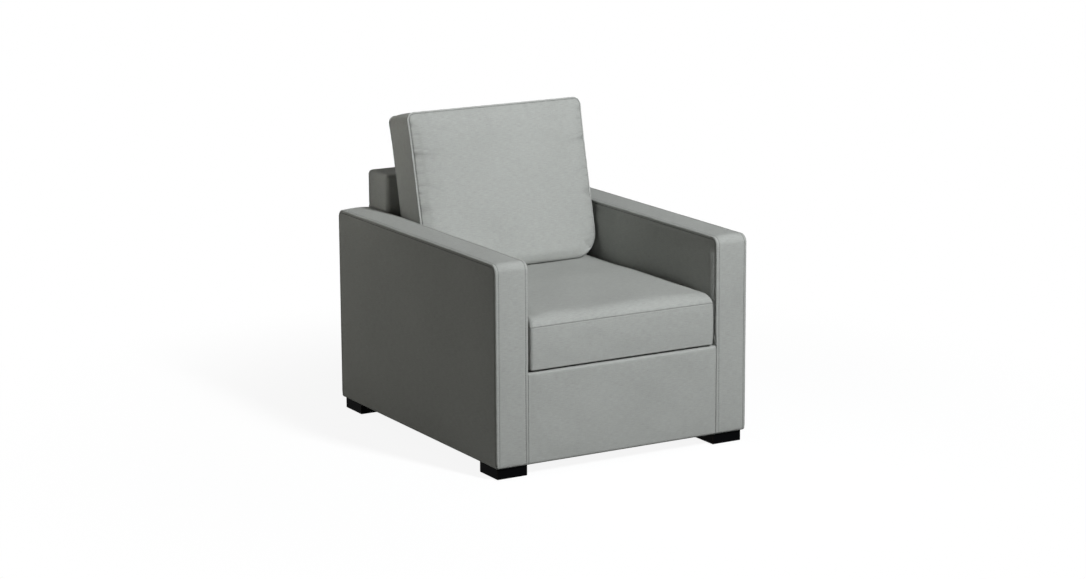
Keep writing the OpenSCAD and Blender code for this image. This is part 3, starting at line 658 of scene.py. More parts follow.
def cap_patch(x, y, z, cloth):
    """Round the box's edges and sew the rear edge down."""
    point = stack(x, y, z)
    inner = stack(np.clip(x, BACK_R - X_IN, X_IN - BACK_R), np.maximum(y, Y_BACK + BACK_R),
                  np.minimum(z, BACK_H - BACK_R))
    way = point - inner
    way = way / np.linalg.norm(way, axis=-1, keepdims=True)
    depth = Y_REAR - SEAM - y
    showing = soft((z - ARM_H) / 14)
    rise = np.interp(depth, SEAM_LINES, LAPPED) * showing - (1 - showing) * SEAM * (depth < 0.1)
    hidden_front = np.clip(-way[..., 1], 0, 1)
    middle = soft(depth / 25) * (1 - hidden_front)
    rise = rise + showing * middle * (0.9 + 0.7 * waves(51, (x, 240), (y, 130), (z, 110))) \
        - 0.5 * (1 - showing) - 0.4 * hidden_front * (1 + waves(52, (x, 150), (z, 150)))
    # painted shade in the cap's seam and along its stitch dimple, only where the cap shows
    painted_shading = painted_seam_darkening(depth) + 0.6 * bell(depth - SEAM_LINES[STITCH_LINE], 1.0)
    return inner + way * (BACK_R + rise[..., None]), way, cloth, painted_shading * showing


cap_z = lines(TUCK_Z, BACK_H, False, True, 7.0, CAP_LINES)
cap_y = np.concatenate([lines(Y_BACK, Y_REAR - SEAM - 18, True, False, 7.0, CAP_LINES)[:-1],
                        Y_REAR - SEAM - SEAM_LINES[::-1]])
cap_x = lines(-X_IN, X_IN, True, True, 7.0, CAP_LINES)
path = np.concatenate([stack(Y_BACK, cap_z), stack(cap_y[1:], BACK_H)])
x, y, z, travel = np.broadcast_arrays(cap_x, path[:, :1], path[:, 1:], path_length(path)[:, None])
patches = [cap_patch(x, y, z, stack(x + BOLT["cap"], travel))]
for side in (-1, 1):
    x, y, z = np.broadcast_arrays(side * X_IN, cap_y, cap_z[:, None])
    patches.append(cap_patch(x, y, z, stack(y + (BOLT["cap"] + 700) * side, z)))
over, left, right = patches
row, column = -1 - STITCH_LINE, (cap_z > ARM_H + 8, -1 - STITCH_LINE)
stitch_runs["chair"].append([np.concatenate([
    left[part][column], over[part][row, 1:-1], right[part][column][::-1]]) for part in (0, 1)])
cover("back_cap_cover", patches, "inside_back_panel", "back_pad")

# %% [markdown]
# The outside back closes the chair from behind. Below the arms it is seamed to the two bands, and
# above them to the cap, so it is a few millimetres narrower up there.

# %% Outside back
outline = (-X_IN, X_IN, BACK_H - SEAM, BACK_R - 3)
inset, z, out, down = up_from_hem(lines(BODY_Z + HEM_R, outline[2], False, True, 7)[1:])
wider = SEAM - 2 * SEAM * soft((z - ARM_H + 2) / 10)
x, z = round_top(*np.broadcast_arrays(lines(-X_IN, X_IN, step=7), z), *outline)
depth = depth_in(x, z, *outline)
x = x + np.sign(x) * wider * soft(abs(x) / X_IN * 2 - 1)
inner = soft(depth / 40) * soft((z - BODY_Z) / 60)
rise = np.interp(depth, SEAM_LINES, PLAIN) + inner * (1.0 + 0.8 * waves(61, (x, 260), (z, 300)))
# painted shade along the outside back's seams
patch = (stack(x, Y_REAR - inset + out * rise, z - down * rise), stack(0, out, -down),
         stack(x + BOLT["back"], z + 3000), painted_seam_darkening(depth))
cover("back_outside_cover", [patch], "outside_back_panel", "rear_wadding")

# %% [markdown]
# Two sheets of cloth are stretched flat. The deck cloth lies over the springs' padding, under the seat
# cushion, and its edges are pushed down between the deck and the arms. The black cloth under the chair
# keeps the dust out, sags a little and is stapled along its edge.

# %% Deck cloth and underside cloth
EDGE_DROP = 1.2     # how far a sheet drops at once where its edge turns down
PUSHED_IN = 18.5    # how much cloth is pushed down beyond the deck's edges


def stretched(name, half_x, y0, y1, level, tucks, surface, finish, offset):
    """A flat sheet. Where there are tucks, its sides and its rear edge turn down by as much."""
    x = np.concatenate([-half_x - tucks, np.linspace(-half_x, half_x, 91), half_x + tucks[::-1]])
    y = np.concatenate([np.linspace(y0, y1, 113), y1 + tucks[::-1]])
    x, y = np.meshgrid(x, y)
    over = np.hypot(np.maximum(abs(x) - half_x, 0), np.maximum(y - y1, 0))
    z = level + surface(x, y) - over - EDGE_DROP * (over > 0)
    points = stack(np.clip(x, -half_x - 0.4, half_x + 0.4), np.minimum(y, y1 + 0.4), z)
    return grid_piece(name, [(points, np.array([0, 0, 1]), stack(x + offset, y), 0.0)], finish, 1.0)


def lay(piece, slot, width, depth, rests_on, *nodes):
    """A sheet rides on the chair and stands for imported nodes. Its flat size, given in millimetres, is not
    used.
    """
    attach(piece, "chair")
    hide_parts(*nodes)


def deck_surface(x, y):
    dip = np.interp(y - ROLL_Y, SEAM_LINES, PLAIN)
    return dip - 0.6 - 0.5 * (1 + waves(71, (x, 160), (y, 210)))


deck = stretched("deck_cover", X_IN - 1.5, ROLL_Y + 0.2, Y_BACK - 1.5, DECK_H, np.array([20, 12, 6]),
                 deck_surface, linen, BOLT["deck"])
lay(deck, "cover", 2 * (X_IN + PUSHED_IN), Y_BACK + PUSHED_IN - ROLL_Y, ["spring_cloth"],
    "deck_cloth", "deck_pad")

dust = Finish("black_dust_cloth", (0.013, 0.013, 0.014), Specular_IOR_Level=0.2)
fibres = dust.noise(900.0, 3.0, 0.7)
cloud = dust.noise(28.0, 2.0)
dust.feed("Base Color", dust.shaded((0.013, 0.013, 0.0145), 0.6 + 0.5 * fibres + 0.4 * cloud))
dust.feed("Roughness", 0.75 + 0.2 * fibres)
dust.bump(fibres + 2.0 * cloud, 0.0002)

dust_low, dust_high = low("dust_cover"), high("dust_cover")


def underside(x, y):
    middle = (1 - (x / dust_high[0]) ** 2) * (1 - (y / dust_high[1]) ** 2)
    beside_feet = soft((np.maximum(abs(x) - 300, 0) + np.maximum(abs(y) - 360, 0)) / 30)
    return -4.5 * soft(middle * 1.6) * (1 - beside_feet) + 0.25 * waves(72, (x, 120), (y, 150))


cloth = stretched("underside_cloth", dust_high[0] - 1, dust_low[1] + 1, dust_high[1] - 1,
                  dust_high[2] - 0.4, np.array([]), underside, dust, 0)
lay(cloth, "dust_cloth", 2 * dust_high[0], 2 * dust_high[1],
    ["front_rail", "rear_rail", "left_side_rail", "right_side_rail"], "dust_cover")

# %% [markdown]
# The loose cushions are boxed: a top panel, a bottom panel and a strip of boxing between them. The
# panels start nearly vertical at the seam and roll over, as cloth does over a full edge, so the grid
# lines are set by angle there.

# %% Lines and curves of a cushion
ROLL_ANGLES = np.radians([0, 1, 2, 3.3, 5, 7, 9.5, 12.5, 16, 21, 27, 34, 42, 51, 60, 70, 80, 90])
ROLLED = 1 - np.cos(ROLL_ANGLES)
WALL_LINES = np.array([0, .5, 1, 1.6, 2.4, 3.4, 4.6, 6, 8, 10.5, 13.5, 17, 21])
FINE, COARSE = 4.6, 16.0   # spacing of the grid lines, as built and for the simulation


def panel_lines(start, end, near, step):
    """Lines across a panel, with the given ones beside its edges."""
    if step == COARSE:
        near = near[-1] * np.array([0, 0.12, 0.45, 1])
    count = max(1, round((end - start - 2 * near[-1]) / step))
    middle = np.linspace(start + near[-1], end - near[-1], count + 1)[1:-1]
    return np.concatenate([start + near, middle, end - near[::-1]])


def wall_lines(height, step):
    if step == COARSE:
        return np.linspace(0, 1, max(3, round(height / step)) + 1)
    count = max(1, round((height - 2 * WALL_LINES[-1]) / step))
    middle = np.linspace(WALL_LINES[-1], height - WALL_LINES[-1], count + 1)[1:-1]
    return np.concatenate([WALL_LINES, middle, height - WALL_LINES[::-1]]) / height


def roll_over(distance, width):
    """A quarter of an ellipse: 0 at the seam and 1 from the given distance on."""
    return np.sqrt(np.maximum(1 - (1 - np.clip(distance / width, 0, 1)) ** 2, 0))


def round_corners(a, b, half, b0, b1, low_radius, high_radius):
    """Round the four corners of a grid, in its plan, so that each line keeps its distance from the edge."""
    x, y = a.copy(), b.copy()
    for sign_a in (-1, 1):
        for edge, sign_b, radius in ((b0, -1, low_radius), (b1, 1, high_radius)):
            u = (sign_a * a - (half - radius)) / radius
            v = (sign_b * (b - edge) + radius) / radius
            corner = (u > 0) & (v > 0)
            ring = np.maximum(np.maximum(u, v), 1e-9)
            turn = math.pi / 4 * np.minimum(u, v) / ring
            turn = np.where(v > u, math.pi / 2 - turn, turn)
            x = np.where(corner, sign_a * (half - radius + radius * ring * np.cos(turn)), x)
            y = np.where(corner, edge + sign_b * radius * (ring * np.sin(turn) - 1), y)
    return x, y


def rim(grid):
    """The points round a grid's edge, in order."""
    return np.concatenate([grid[0, :-1], grid[:-1, -1], grid[-1, :0:-1], grid[:0:-1, 0]])


def out_of(x, y):
    """The direction out of a closed loop, from the points on either side of each point."""
    step_x, step_y = (np.roll(v, -1, -1) - np.roll(v, 1, -1) for v in (x, y))
    length = np.maximum(np.hypot(step_x, step_y), 1e-9)
    return step_y / length, -step_x / length


def dome(ta, tb, power):
    """1 in the middle of a panel and 0 at its edges, where ta or tb is 1."""
    return (1 - abs(ta) ** power) * (1 - abs(tb) ** power)


print("a cushion's panel has", ROLL_ANGLES.size, "lines across each rolled edge")

# %% [markdown]
# Each cushion is a closed form made of three grids that share their edges. It is made twice, once with
# coarse grids for the simulation, so there is also a way to carry what happens there to the fine one.

# %% A cushion as three grids
class Cushion:
    """A boxed cushion as three grids that share their edges."""

    def __init__(self, us, vs, ts, shape, full):
        self.us, self.vs, self.ts = us, vs, ts
        a, b = np.meshgrid(us, vs)
        self.points = np.concatenate([part.reshape(-1, 3) for part in shape(a, b, ts, full)])
        self.top = np.arange(a.size).reshape(a.shape)
        self.bottom = self.top + a.size
        edge = rim(self.top)
        inner = 2 * a.size + np.arange(edge.size * (ts.size - 2)).reshape(ts.size - 2, edge.size)
        self.wall = np.concatenate([edge[None], inner, edge[None] + a.size])
        self.closed = np.concatenate([self.wall, self.wall[:, :1]], 1)
        quads = [face_grid(grid) for grid in (self.top, self.bottom, self.closed)]
        outward = self.points - self.points.mean(0)
        self.quads = np.concatenate([
            faces[:, ::-1] if looks_inwards(self.points, faces, outward) else faces for faces in quads])

    def normals(self):
        """The direction in which the surface looks at each point."""
        total, faces = np.zeros_like(self.points), facing(self.points, self.quads)
        for corner in self.quads.T:
            np.add.at(total, corner, faces)
        return total / np.maximum(np.linalg.norm(total, axis=1, keepdims=True), 1e-12)


def kernel(fine, coarse, spread, period=0):
    """Weights that carry a smooth value from coarse lines to fine ones."""
    gap = abs(fine[:, None] - coarse[None, :])
    if period:
        gap = np.minimum(gap, period - gap)
    near = np.exp(-(gap / spread) ** 2 / 2)
    return near / near.sum(1, keepdims=True)


def along_rim(us, vs):
    wide, deep = us[-1] - us[0], vs[-1] - vs[0]
    return np.concatenate([us[:-1] - us[0], wide + vs[:-1] - vs[0], wide + deep + us[-1] - us[:0:-1],
                           2 * wide + deep + vs[-1] - vs[:0:-1]]), 2 * (wide + deep)


def carry(value, coarse, fine, spread=11.0):
    """Carry one value per point from the coarse cushion to the fine one."""
    across_u, across_v = kernel(fine.us, coarse.us, spread), kernel(fine.vs, coarse.vs, spread)
    result = np.zeros(len(fine.points))
    for panel, old_panel in ((fine.top, coarse.top), (fine.bottom, coarse.bottom)):
        result[panel] = across_v @ value[old_panel] @ across_u.T
    place, period = along_rim(fine.us, fine.vs)
    old_place, _ = along_rim(coarse.us, coarse.vs)
    height = kernel(fine.ts, coarse.ts, 0.7 * (coarse.ts[1] - coarse.ts[0]))
    wall = height @ value[coarse.wall] @ kernel(place, old_place, spread, period).T
    share = np.clip(np.minimum(fine.ts, 1 - fine.ts) / 0.12, 0, 1)[:, None]
    upper, lower = result[fine.wall[0]], result[fine.wall[-1]]
    wall = share * wall + (1 - share) * np.where(fine.ts[:, None] < 0.5, upper, lower)
    result[fine.wall[1:-1]] = wall[1:-1]
    return result


print("a cushion has three grids: its top, its bottom and its wall")

# %% [markdown]
# Filling pushes cloth out until the seams hold it. That is what a cloth simulation does: a slack,
# coarse copy of the cushion is blown up by a gentle pressure, with the faces that rest on something
# held still. How far each point got is measured, capped, and carried over to the fine form, which then
# lies between its slack and its full shape, with the small creases that the simulation found.

# %% Blowing up a cushion
MOVES = -6, 30   # the least and the most that a point may move out, in millimetres


def blow_up(name, slack, held, frames=20):
    """How far each point of the slack form moves out under pressure, in millimetres."""
    mesh = bpy.data.meshes.new(name + "_slack")
    mesh.from_pydata((slack.points * 0.001).tolist(), [], slack.quads.tolist())
    balloon = bpy.data.objects.new(name + "_slack", mesh)
    bpy.context.collection.objects.link(balloon)
    pins = balloon.vertex_groups.new(name="held")
    for index in np.flatnonzero(held > 0):
        pins.add([int(index)], float(held[index]), "REPLACE")
    cloth = balloon.modifiers.new("cloth", "CLOTH")
    for setting, value in {"vertex_group_mass": "held", "quality": 6, "mass": 0.3, "use_pressure": True,
                           "uniform_pressure_force": 4.0, "tension_stiffness": 20,
                           "compression_stiffness": 20}.items():
        setattr(cloth.settings, setting, value)
    cloth.settings.effector_weights.gravity = 0
    cloth.point_cache.frame_start, cloth.point_cache.frame_end = 1, frames
    scene = bpy.context.scene
    for step in range(1, frames + 1):
        scene.frame_set(step)
    blown = balloon.evaluated_get(bpy.context.evaluated_depsgraph_get()).to_mesh()
    moved = np.empty(len(blown.vertices) * 3, np.float32)
    blown.vertices.foreach_get("co", moved)
    scene.frame_set(1)
    bpy.data.objects.remove(balloon)
    bpy.data.meshes.remove(mesh)
    moved = 1000 * moved.reshape(-1, 3).astype(float) - slack.points
    out = (moved * slack.normals()).sum(1)
    print(f"{name}: the cloth moved out by up to {out.max():.1f} mm")
    return np.clip(out, *MOVES)


def filled(name, shape, lines_of, rests):
    """The fine cushion, between its slack and its full shape."""
    full = Cushion(*lines_of(FINE), shape, 1.0)
    slack_fine = Cushion(full.us, full.vs, full.ts, shape, 0.0)
    slack = Cushion(*lines_of(COARSE), shape, 0.0)
    out = blow_up(name, slack, rests(slack))
    way = full.points - slack_fine.points
    room = np.linalg.norm(way, axis=1)
    broad = carry(out, slack, full, 30.0)
    fine = carry(out, slack, full)
    reach = 0.8 + 0.22 * (1 - np.exp(-2.2 * np.maximum(broad, 0) / (room + 2)))
    creases = np.clip(0.25 * (fine - broad), -0.6, 0.6) * soft(carry(1 - rests(slack), slack, full))
    full.points = slack_fine.points + way * reach[:, None] + full.normals() * creases[:, None]
    print(f"{name}: filled to {100 * reach.mean():.0f} % on average")
    return full


def press_slot(points, zipped, across, into, bottom, there):
    """Press the slot that holds a zip down to its bottom, among the points that are there."""
    start, end = low(zipped), high(zipped)
    inside = soft(((end[0] - start[0]) / 2 + 11 - abs(points[:, 0])) / 5) \
        * soft((15 - abs(points[:, across] - (start[across] + end[across]) / 2)) / 5) * there
    points[:, into] += inside * (bottom - points[:, into])


def finish_cushion(body, form, top_plan, bottom_plan, shade, bolt, fill):
    """Make the piece. The threads of each panel run straight across its plan."""
    height = np.linalg.norm(form.points[form.wall[0, 0]] - form.points[form.wall[-1, 0]])
    around = stack(np.append(*along_rim(form.us, form.vs)), form.ts[:, None] * height)
    grids = [(form.top, stack(*top_plan) + bolt),
             (form.bottom, stack(*bottom_plan) + bolt + PANEL_APART),
             (form.closed, around + bolt + 2 * PANEL_APART)]
    piece = add_piece(body + "_soft", form.points, form.points - form.points.mean(0), grids, shade, linen, 0)
    padded(piece, body, fill, body + "_cover", body + "_core")

# %% [markdown]
# The seat cushion is a thick block of foam. Its top panel is almost flat, a little higher in front,
# where no back cushion presses on it. Above one thin seam it rolls over softly in front, and more
# tightly beside the arms. Its sides are drawn in a little between the corners, and its bottom edge
# stands a few millimetres off the deck, which leaves a dark line. At the rear a slot in the boxing
# holds the zip.

# %% Shape of the seat cushion
seat_low, seat_high = low("seat_cushion_cover"), high("seat_cushion_cover")
SEAT_HALF = seat_high[0]
SEAT_BOXING = 129.0               # height of the seam over the bottom
SEAT_RISE = seat_high[2] - seat_low[2] - SEAT_BOXING
SIDE_ROLL, FRONT_ROLL = 16.0, 38.0   # how far in the top panel has rolled over
SEAT_CORNER = 9.0                 # radius of the corners, seen from above
SEAT_FOOT, SEAT_LIFT = 4.0, 4.5   # the bottom edge is rounded, and a little off the deck
FAR = 60.0                        # stands for no seam nearby


def seat_edges(a, b):
    """Distances from the side edges and from the front and rear edges."""
    return SEAT_HALF - abs(a), np.minimum(b - seat_low[1], seat_high[1] - b)


def seat_shape(a, b, ts, full):
    y0, y1 = seat_low[1], seat_high[1]
    side_gap, front_gap = seat_edges(a, b)
    ta, tb = a / SEAT_HALF, (2 * b - y0 - y1) / (y1 - y0)
    x, y = round_corners(a, b, SEAT_HALF, y0, y1, SEAT_CORNER, SEAT_CORNER)
    x = x - ta * (2.0 + 2 * (1 - full)) * (1 - tb ** 4)
    y = y - tb * (1.5 + 1 * (1 - full)) * (1 - ta ** 4) * (tb < 0)
    edge = roll_over(side_gap, SIDE_ROLL) * roll_over(front_gap, FRONT_ROLL)
    worn = np.exp(-(((a + 300) / 45) ** 2 + ((b - y0 - 95) / 50) ** 2))
    seam_z = seat_low[2] + SEAT_BOXING
    free = soft((60 - b) / 160)
    top = stack(x, y, seam_z + edge * ((SEAT_RISE - 3.5) * (0.72 + 0.28 * full) - 5 * worn + 5 * free * full)
                + dome(ta, tb, 2.5) * (1 + 2.5 * full))
    lifted = SEAT_LIFT * (1 - np.clip(np.minimum(side_gap, front_gap) / 26, 0, 1)) ** 2
    bottom = stack(x - ta * SEAT_FOOT, y - tb * SEAT_FOOT, seat_low[2] + lifted)
    loop = rim(top)[:, :2]
    out = stack(*out_of(*loop.T))
    drop = ts[:, None] * (SEAT_BOXING - SEAT_LIFT)
    low_part = np.clip((drop - SEAT_BOXING + SEAT_LIFT + SEAT_FOOT) / SEAT_FOOT, 0, 1)
    turned = 1 - np.sqrt(1 - low_part ** 2)
    swell = (0.6 + 1.6 * full) * np.sin(math.pi * ts[:, None]) ** 0.8
    wall = loop + (rim(bottom)[:, :2] - loop) * turned[..., None] + out * swell[..., None]
    return top, bottom, stack(wall[..., 0], wall[..., 1], seam_z - drop)[1:-1]


def seat_lines(step):
    return (panel_lines(-SEAT_HALF, SEAT_HALF, SIDE_ROLL * ROLLED, step),
            panel_lines(seat_low[1], seat_high[1], FRONT_ROLL * ROLLED, step), wall_lines(SEAT_BOXING, step))


def seat_rests(form):
    held = np.zeros(len(form.points))
    held[form.bottom] = 1.0
    held[form.points[:, 1] > seat_high[1] - 2] = 0.9
    return held


print(f"the seat cushion's seam lies {SEAT_BOXING:.0f} mm up, and its top rises {SEAT_RISE:.0f} mm more")

# %% [markdown]
# The filled form gets its seam, the small puckers beside it and a slow unevenness. The same distances
# from the seam say where shade is painted into the cloth. Then the zip's slot is pressed in.

# %% Seat cushion
seat = filled("seat_cushion", seat_shape, seat_lines, seat_rests)
a, b = np.meshgrid(seat.us, seat.vs)
side_gap, front_gap = seat_edges(a, b)
distance = np.full(len(seat.points), FAR)
distance[seat.top] = np.minimum(np.hypot(side_gap, SEAT_RISE * roll_over(side_gap, SIDE_ROLL)),
                                np.hypot(front_gap, SEAT_RISE * roll_over(front_gap, FRONT_ROLL)))
distance[seat.wall] = np.minimum(seat.ts, 1 - seat.ts)[:, None] * SEAT_BOXING
distance[seat.bottom] = np.minimum(side_gap, front_gap)
spot = seat.points
groove = -0.8 * bell(distance, 1.1) + 0.3 * bell(distance - 4.0, 2.6)
pucker = 0.35 * soft(distance / 3) * np.exp(-distance / 16) * waves(81, (spot[:, 0] + spot[:, 1], 24))
broad = 0.7 * soft((distance - 20) / 40) * waves(82, (spot[:, 0], 230), (spot[:, 1], 260))
rise = groove + pucker + broad
rise[seat.bottom] = 0
seat.points = spot + seat.normals() * rise[:, None]
press_slot(seat.points, "seat_cushion_zip", 2, 1, low("seat_cushion_zip")[1] - 1.0,
           seat.points[:, 1] > seat_high[1] - 30)
seat.points = np.clip(seat.points, (-SEAT_HALF - 0.8, seat_low[1] - 3, seat_low[2]),
                      (SEAT_HALF + 0.8, seat_high[1], seat_high[2] + 7))
# painted shade along the seat cushion's seam
painted_shading = 0.6 * painted_seam_darkening(distance, 1.0)
finish_cushion("seat_cushion", seat, (a, b), (a, b), painted_shading, BOLT["seat"], 0.9)

# %% [markdown]
# The back cushion stands on the seat cushion and leans on the frame back. It is easiest to lay it out
# flat, along its own width, height and depth. Each point is then stood up, moved down to the seat and
# pressed against the frame back.

# %% How the back cushion stands
cushion_low, cushion_high = low("back_cushion_cover"), high("back_cushion_cover")
LEAN = math.radians(13)
CUSHION_HALF = cushion_high[0]
CUSHION_T, CUSHION_L = 120.0, 492.0         # depth of the boxing, and length along the slope
CUSHION_FRONT, CUSHION_REAR = 26.0, 34.0    # how far the panels swell
FRONT_CORNERS, REAR_CORNERS = (85.0, 24.0), (34.0, 22.0)   # radii of the lower and upper corners
CUSHION_ROLL, SIDE_CURVE, FOOT_CURVE = 100.0, 42.0, 48.0   # how far in a panel is still coming out
STITCHES_IN = 5.0                           # from the seam to the stitches
CUSHION_EDGE = np.array([0, .06, .2, .4, .8, 1.3, 1.8, 2.4, 3, 3.6, 4.3, 5.2, 6.4, 8.2, 11, 15])
FRAME_EDGE = BACK_H - 14                    # where the frame back starts to round off
BEHIND = Y_BACK - 0.6                       # how far back the cushion can go
lean_z = seat_high[2] - CUSHION_T * math.sin(LEAN)
lean_y = Y_BACK - CUSHION_REAR / math.cos(LEAN) - (FRAME_EDGE - lean_z) * math.tan(LEAN)


def stand_up(x, depth, up):
    """From the cushion's own axes to the chair's: depth is towards the rear and up is along its slope."""
    return stack(x, lean_y + depth * math.cos(LEAN) + up * math.sin(LEAN),
                 lean_z - depth * math.sin(LEAN) + up * math.cos(LEAN))


def settle(points):
    """Press the cushion flat on the seat and against the frame back."""
    points[..., 2] = np.maximum(points[..., 2], cushion_low[2])
    limit = BEHIND + 1.2 * np.maximum(points[..., 2] - (FRAME_EDGE + 3), 0)
    over = points[..., 1] - limit
    eased = limit - 3 * np.log1p(np.exp(np.clip(-over / 3, -50, 50)))
    points[..., 1] = np.where(over > -6, eased, points[..., 1])
    return points


def set_down(x, depth, up):
    """Stand a point up, with its foot moved to the seat, and press it against what is behind it."""
    foot = (cushion_low[2] - lean_z + depth * math.sin(LEAN)) / math.cos(LEAN)
    return settle(stand_up(x, depth, up + (1 - up / CUSHION_L) * foot))


print(f"the back cushion is {CUSHION_T:.0f} mm deep at its seams and leans {math.degrees(LEAN):.0f} degrees")

# %% [markdown]
# The back cushion is softer than the seat, so its front swells out. Its lower corners are rounder than
# its upper ones, because its weight pulls them in.

# %% Shape of the back cushion
def fullness(distance):
    """How far a panel has come out at a distance from its seam: steeply at first, then less and less."""
    slow = 1 - (1 - np.clip(distance / CUSHION_ROLL, 0, 1)) ** 2
    return 0.4 * roll_over(distance, SIDE_CURVE) + 0.6 * slow


def end_fullness(b):
    """The same along the cushion's height: it rolls over at its foot, where its weight lies."""
    return np.where(b < CUSHION_L / 2, roll_over(b, FOOT_CURVE), fullness(CUSHION_L - b))


def plan(a, b, radii):
    return round_corners(a, b, CUSHION_HALF, 0, CUSHION_L, *radii)


def cushion_shape(a, b, ts, full):
    ta, tb = a / CUSHION_HALF, 2 * b / CUSHION_L - 1
    drawn_in = ta * 3.0 * (1 - tb ** 4)
    front_x, front_up = plan(a, b, FRONT_CORNERS)
    rear_x, rear_up = plan(a, b, REAR_CORNERS)
    side_gap, end_gap = CUSHION_HALF - abs(a), np.minimum(b, CUSHION_L - b)
    across, along = fullness(side_gap), end_fullness(b)
    at_rim = bell(np.minimum(side_gap, end_gap), 14)
    swell = across * along * (1 - at_rim) + np.minimum(across, along) * at_rim
    swell = swell * (0.68 + 0.22 * full) + dome(ta, tb, 2.2) * (0.02 + 0.13 * full)
    top = set_down(front_x - drawn_in, -CUSHION_T - CUSHION_FRONT * swell, front_up)
    bottom = set_down(rear_x - drawn_in, CUSHION_REAR * swell, rear_up)
    turned = soft(ts / 0.5)[:, None]
    x = rim(front_x) * (1 - turned) + rim(rear_x) * turned - rim(drawn_in)
    up = rim(front_up) * (1 - turned) + rim(rear_up) * turned
    out_x, out_up = out_of(x, up)
    puff = (0.5 + 2.5 * full) * np.sin(math.pi * ts[:, None]) ** 0.8 * (1 - np.clip(1 - up / 40, 0, 1))
    wall = set_down(x + puff * out_x, CUSHION_T * (ts[:, None] - 1), up + puff * out_up)
    return top, bottom, wall[1:-1]


def cushion_lines(step):
    return (panel_lines(-CUSHION_HALF, CUSHION_HALF, CUSHION_EDGE, step),
            panel_lines(0.0, CUSHION_L, CUSHION_EDGE, step), wall_lines(CUSHION_T, step))


def cushion_rests(form):
    _, y, z = form.points.T
    return ((z < cushion_low[2] + 1) | (y > Y_BACK - 3) & (z < FRAME_EDGE)).astype(float)


print(f"its front swells out by up to {CUSHION_FRONT:.0f} mm")

# %% [markdown]
# The back cushion's edges are marked by a raised ridge, with stitches just inside it, and the cloth
# beside the ridge is drawn into small creases, each as deep and as long as chance made it. A highlight is
# painted on the ridge, and shade in the valley by the stitches and in the creases.

# %% Back cushion
cushion = filled("back_cushion", cushion_shape, cushion_lines, cushion_rests)
a, b = np.meshgrid(cushion.us, cushion.vs)
come_out = 0.9 * CUSHION_FRONT
side_gap, end_gap = CUSHION_HALF - abs(a), np.minimum(b, CUSHION_L - b)
to_side, to_end = np.full((2, len(cushion.points)), 200.0)
for panel in (cushion.top, cushion.bottom):
    to_side[panel] = np.hypot(side_gap, come_out * fullness(side_gap))
    to_end[panel] = np.hypot(end_gap, come_out * end_fullness(b))
distance = np.minimum(to_side, to_end)
distance[cushion.wall] = np.minimum(cushion.ts, 1 - cushion.ts)[:, None] * CUSHION_T
on_panel = np.ones(len(cushion.points))
on_panel[cushion.wall[1:-1]] = 0
spot = cushion.points
slope = spot[:, 2] / math.cos(LEAN)


def creases(position, gap, seed, deep):
    """Narrow valleys that start at a seam and die out, each with a length of its own."""
    valley = soft(1 - abs(waves(seed, (position, 40), (gap, 300))) / 0.45)
    long = np.clip(0.65 + 0.5 * waves(seed + 1, (position, 80)), 0.15, 1.3)
    return -deep * long * valley * soft(gap / 4) * np.exp(-gap / (38 * long))


uneven = np.clip(1 + 0.12 * waves(94, (slope + spot[:, 0], 26)), 0.7, 1.3)
ridge = 2.2 * uneven * bell(distance, 1.5)
valley = -1.3 * on_panel * bell(distance - STITCHES_IN, 1.4) \
    - 0.45 * (1 - on_panel) * bell(distance - 6.0, 1.2)
drawn = creases(slope, to_side, 91, 3.4) + creases(spot[:, 0], to_end, 95, 0.8)
tug = 0.3 * soft(distance / 5) * np.exp(-distance / 14) * waves(92, (slope + spot[:, 0], 12))
broad = 0.9 * soft((distance - 15) / 60) * waves(93, (spot[:, 0], 210), (slope, 190))
rise = ridge + valley + on_panel * (drawn + broad) + tug
outwards = cushion.normals()
cushion.points = spot + outwards * rise[:, None]
press_slot(cushion.points, "back_cushion_zip", 1, 2, high("back_cushion_zip")[2] + 1,
           cushion.points[:, 2] < cushion_low[2] + 8)
cushion.points[:, 2] = np.maximum(cushion.points[:, 2], cushion_low[2])
behind = (cushion.points[:, 2] < FRAME_EDGE) & (cushion.points[:, 1] > BEHIND)
cushion.points[behind, 1] = BEHIND
stitch_at = int(np.argmin(abs(np.hypot(CUSHION_EDGE, come_out * fullness(CUSHION_EDGE)) - STITCHES_IN)))
run = rim(cushion.top[stitch_at:-stitch_at, stitch_at:-stitch_at])
run = np.append(run, run[0])
stitch_runs["back_cushion"].append((cushion.points[run], outwards[run]))
# painted highlight on the ridge; painted shade in the valley by the stitches, in the creases and in the
# boxing's valley
painted_shading = np.where(on_panel > 0, 0.8 * bell(distance - 4.8, 1.3) - 0.12 * drawn,
                0.3 * bell(distance - 6, 1.0)) - 0.3 * uneven * bell(distance, 1.5)
plans = plan(a, b, FRONT_CORNERS), plan(a, b, REAR_CORNERS)
finish_cushion("back_cushion", cushion, *plans, painted_shading, BOLT["cushion"], 0.75)

# %% [markdown]
# Stitches repeat by the hundred along the seams, which is work for Geometry Nodes. The tree below turns
# the path of a seam into a curve, drops a point on it every few millimetres and sets one short thread
# on each, turned along the seam and lying flat on the cloth. Its sizes are named inputs, and the same
# tree serves the chair and the back cushion. The same way of working makes the zips' teeth and the
# staples, with other sizes.

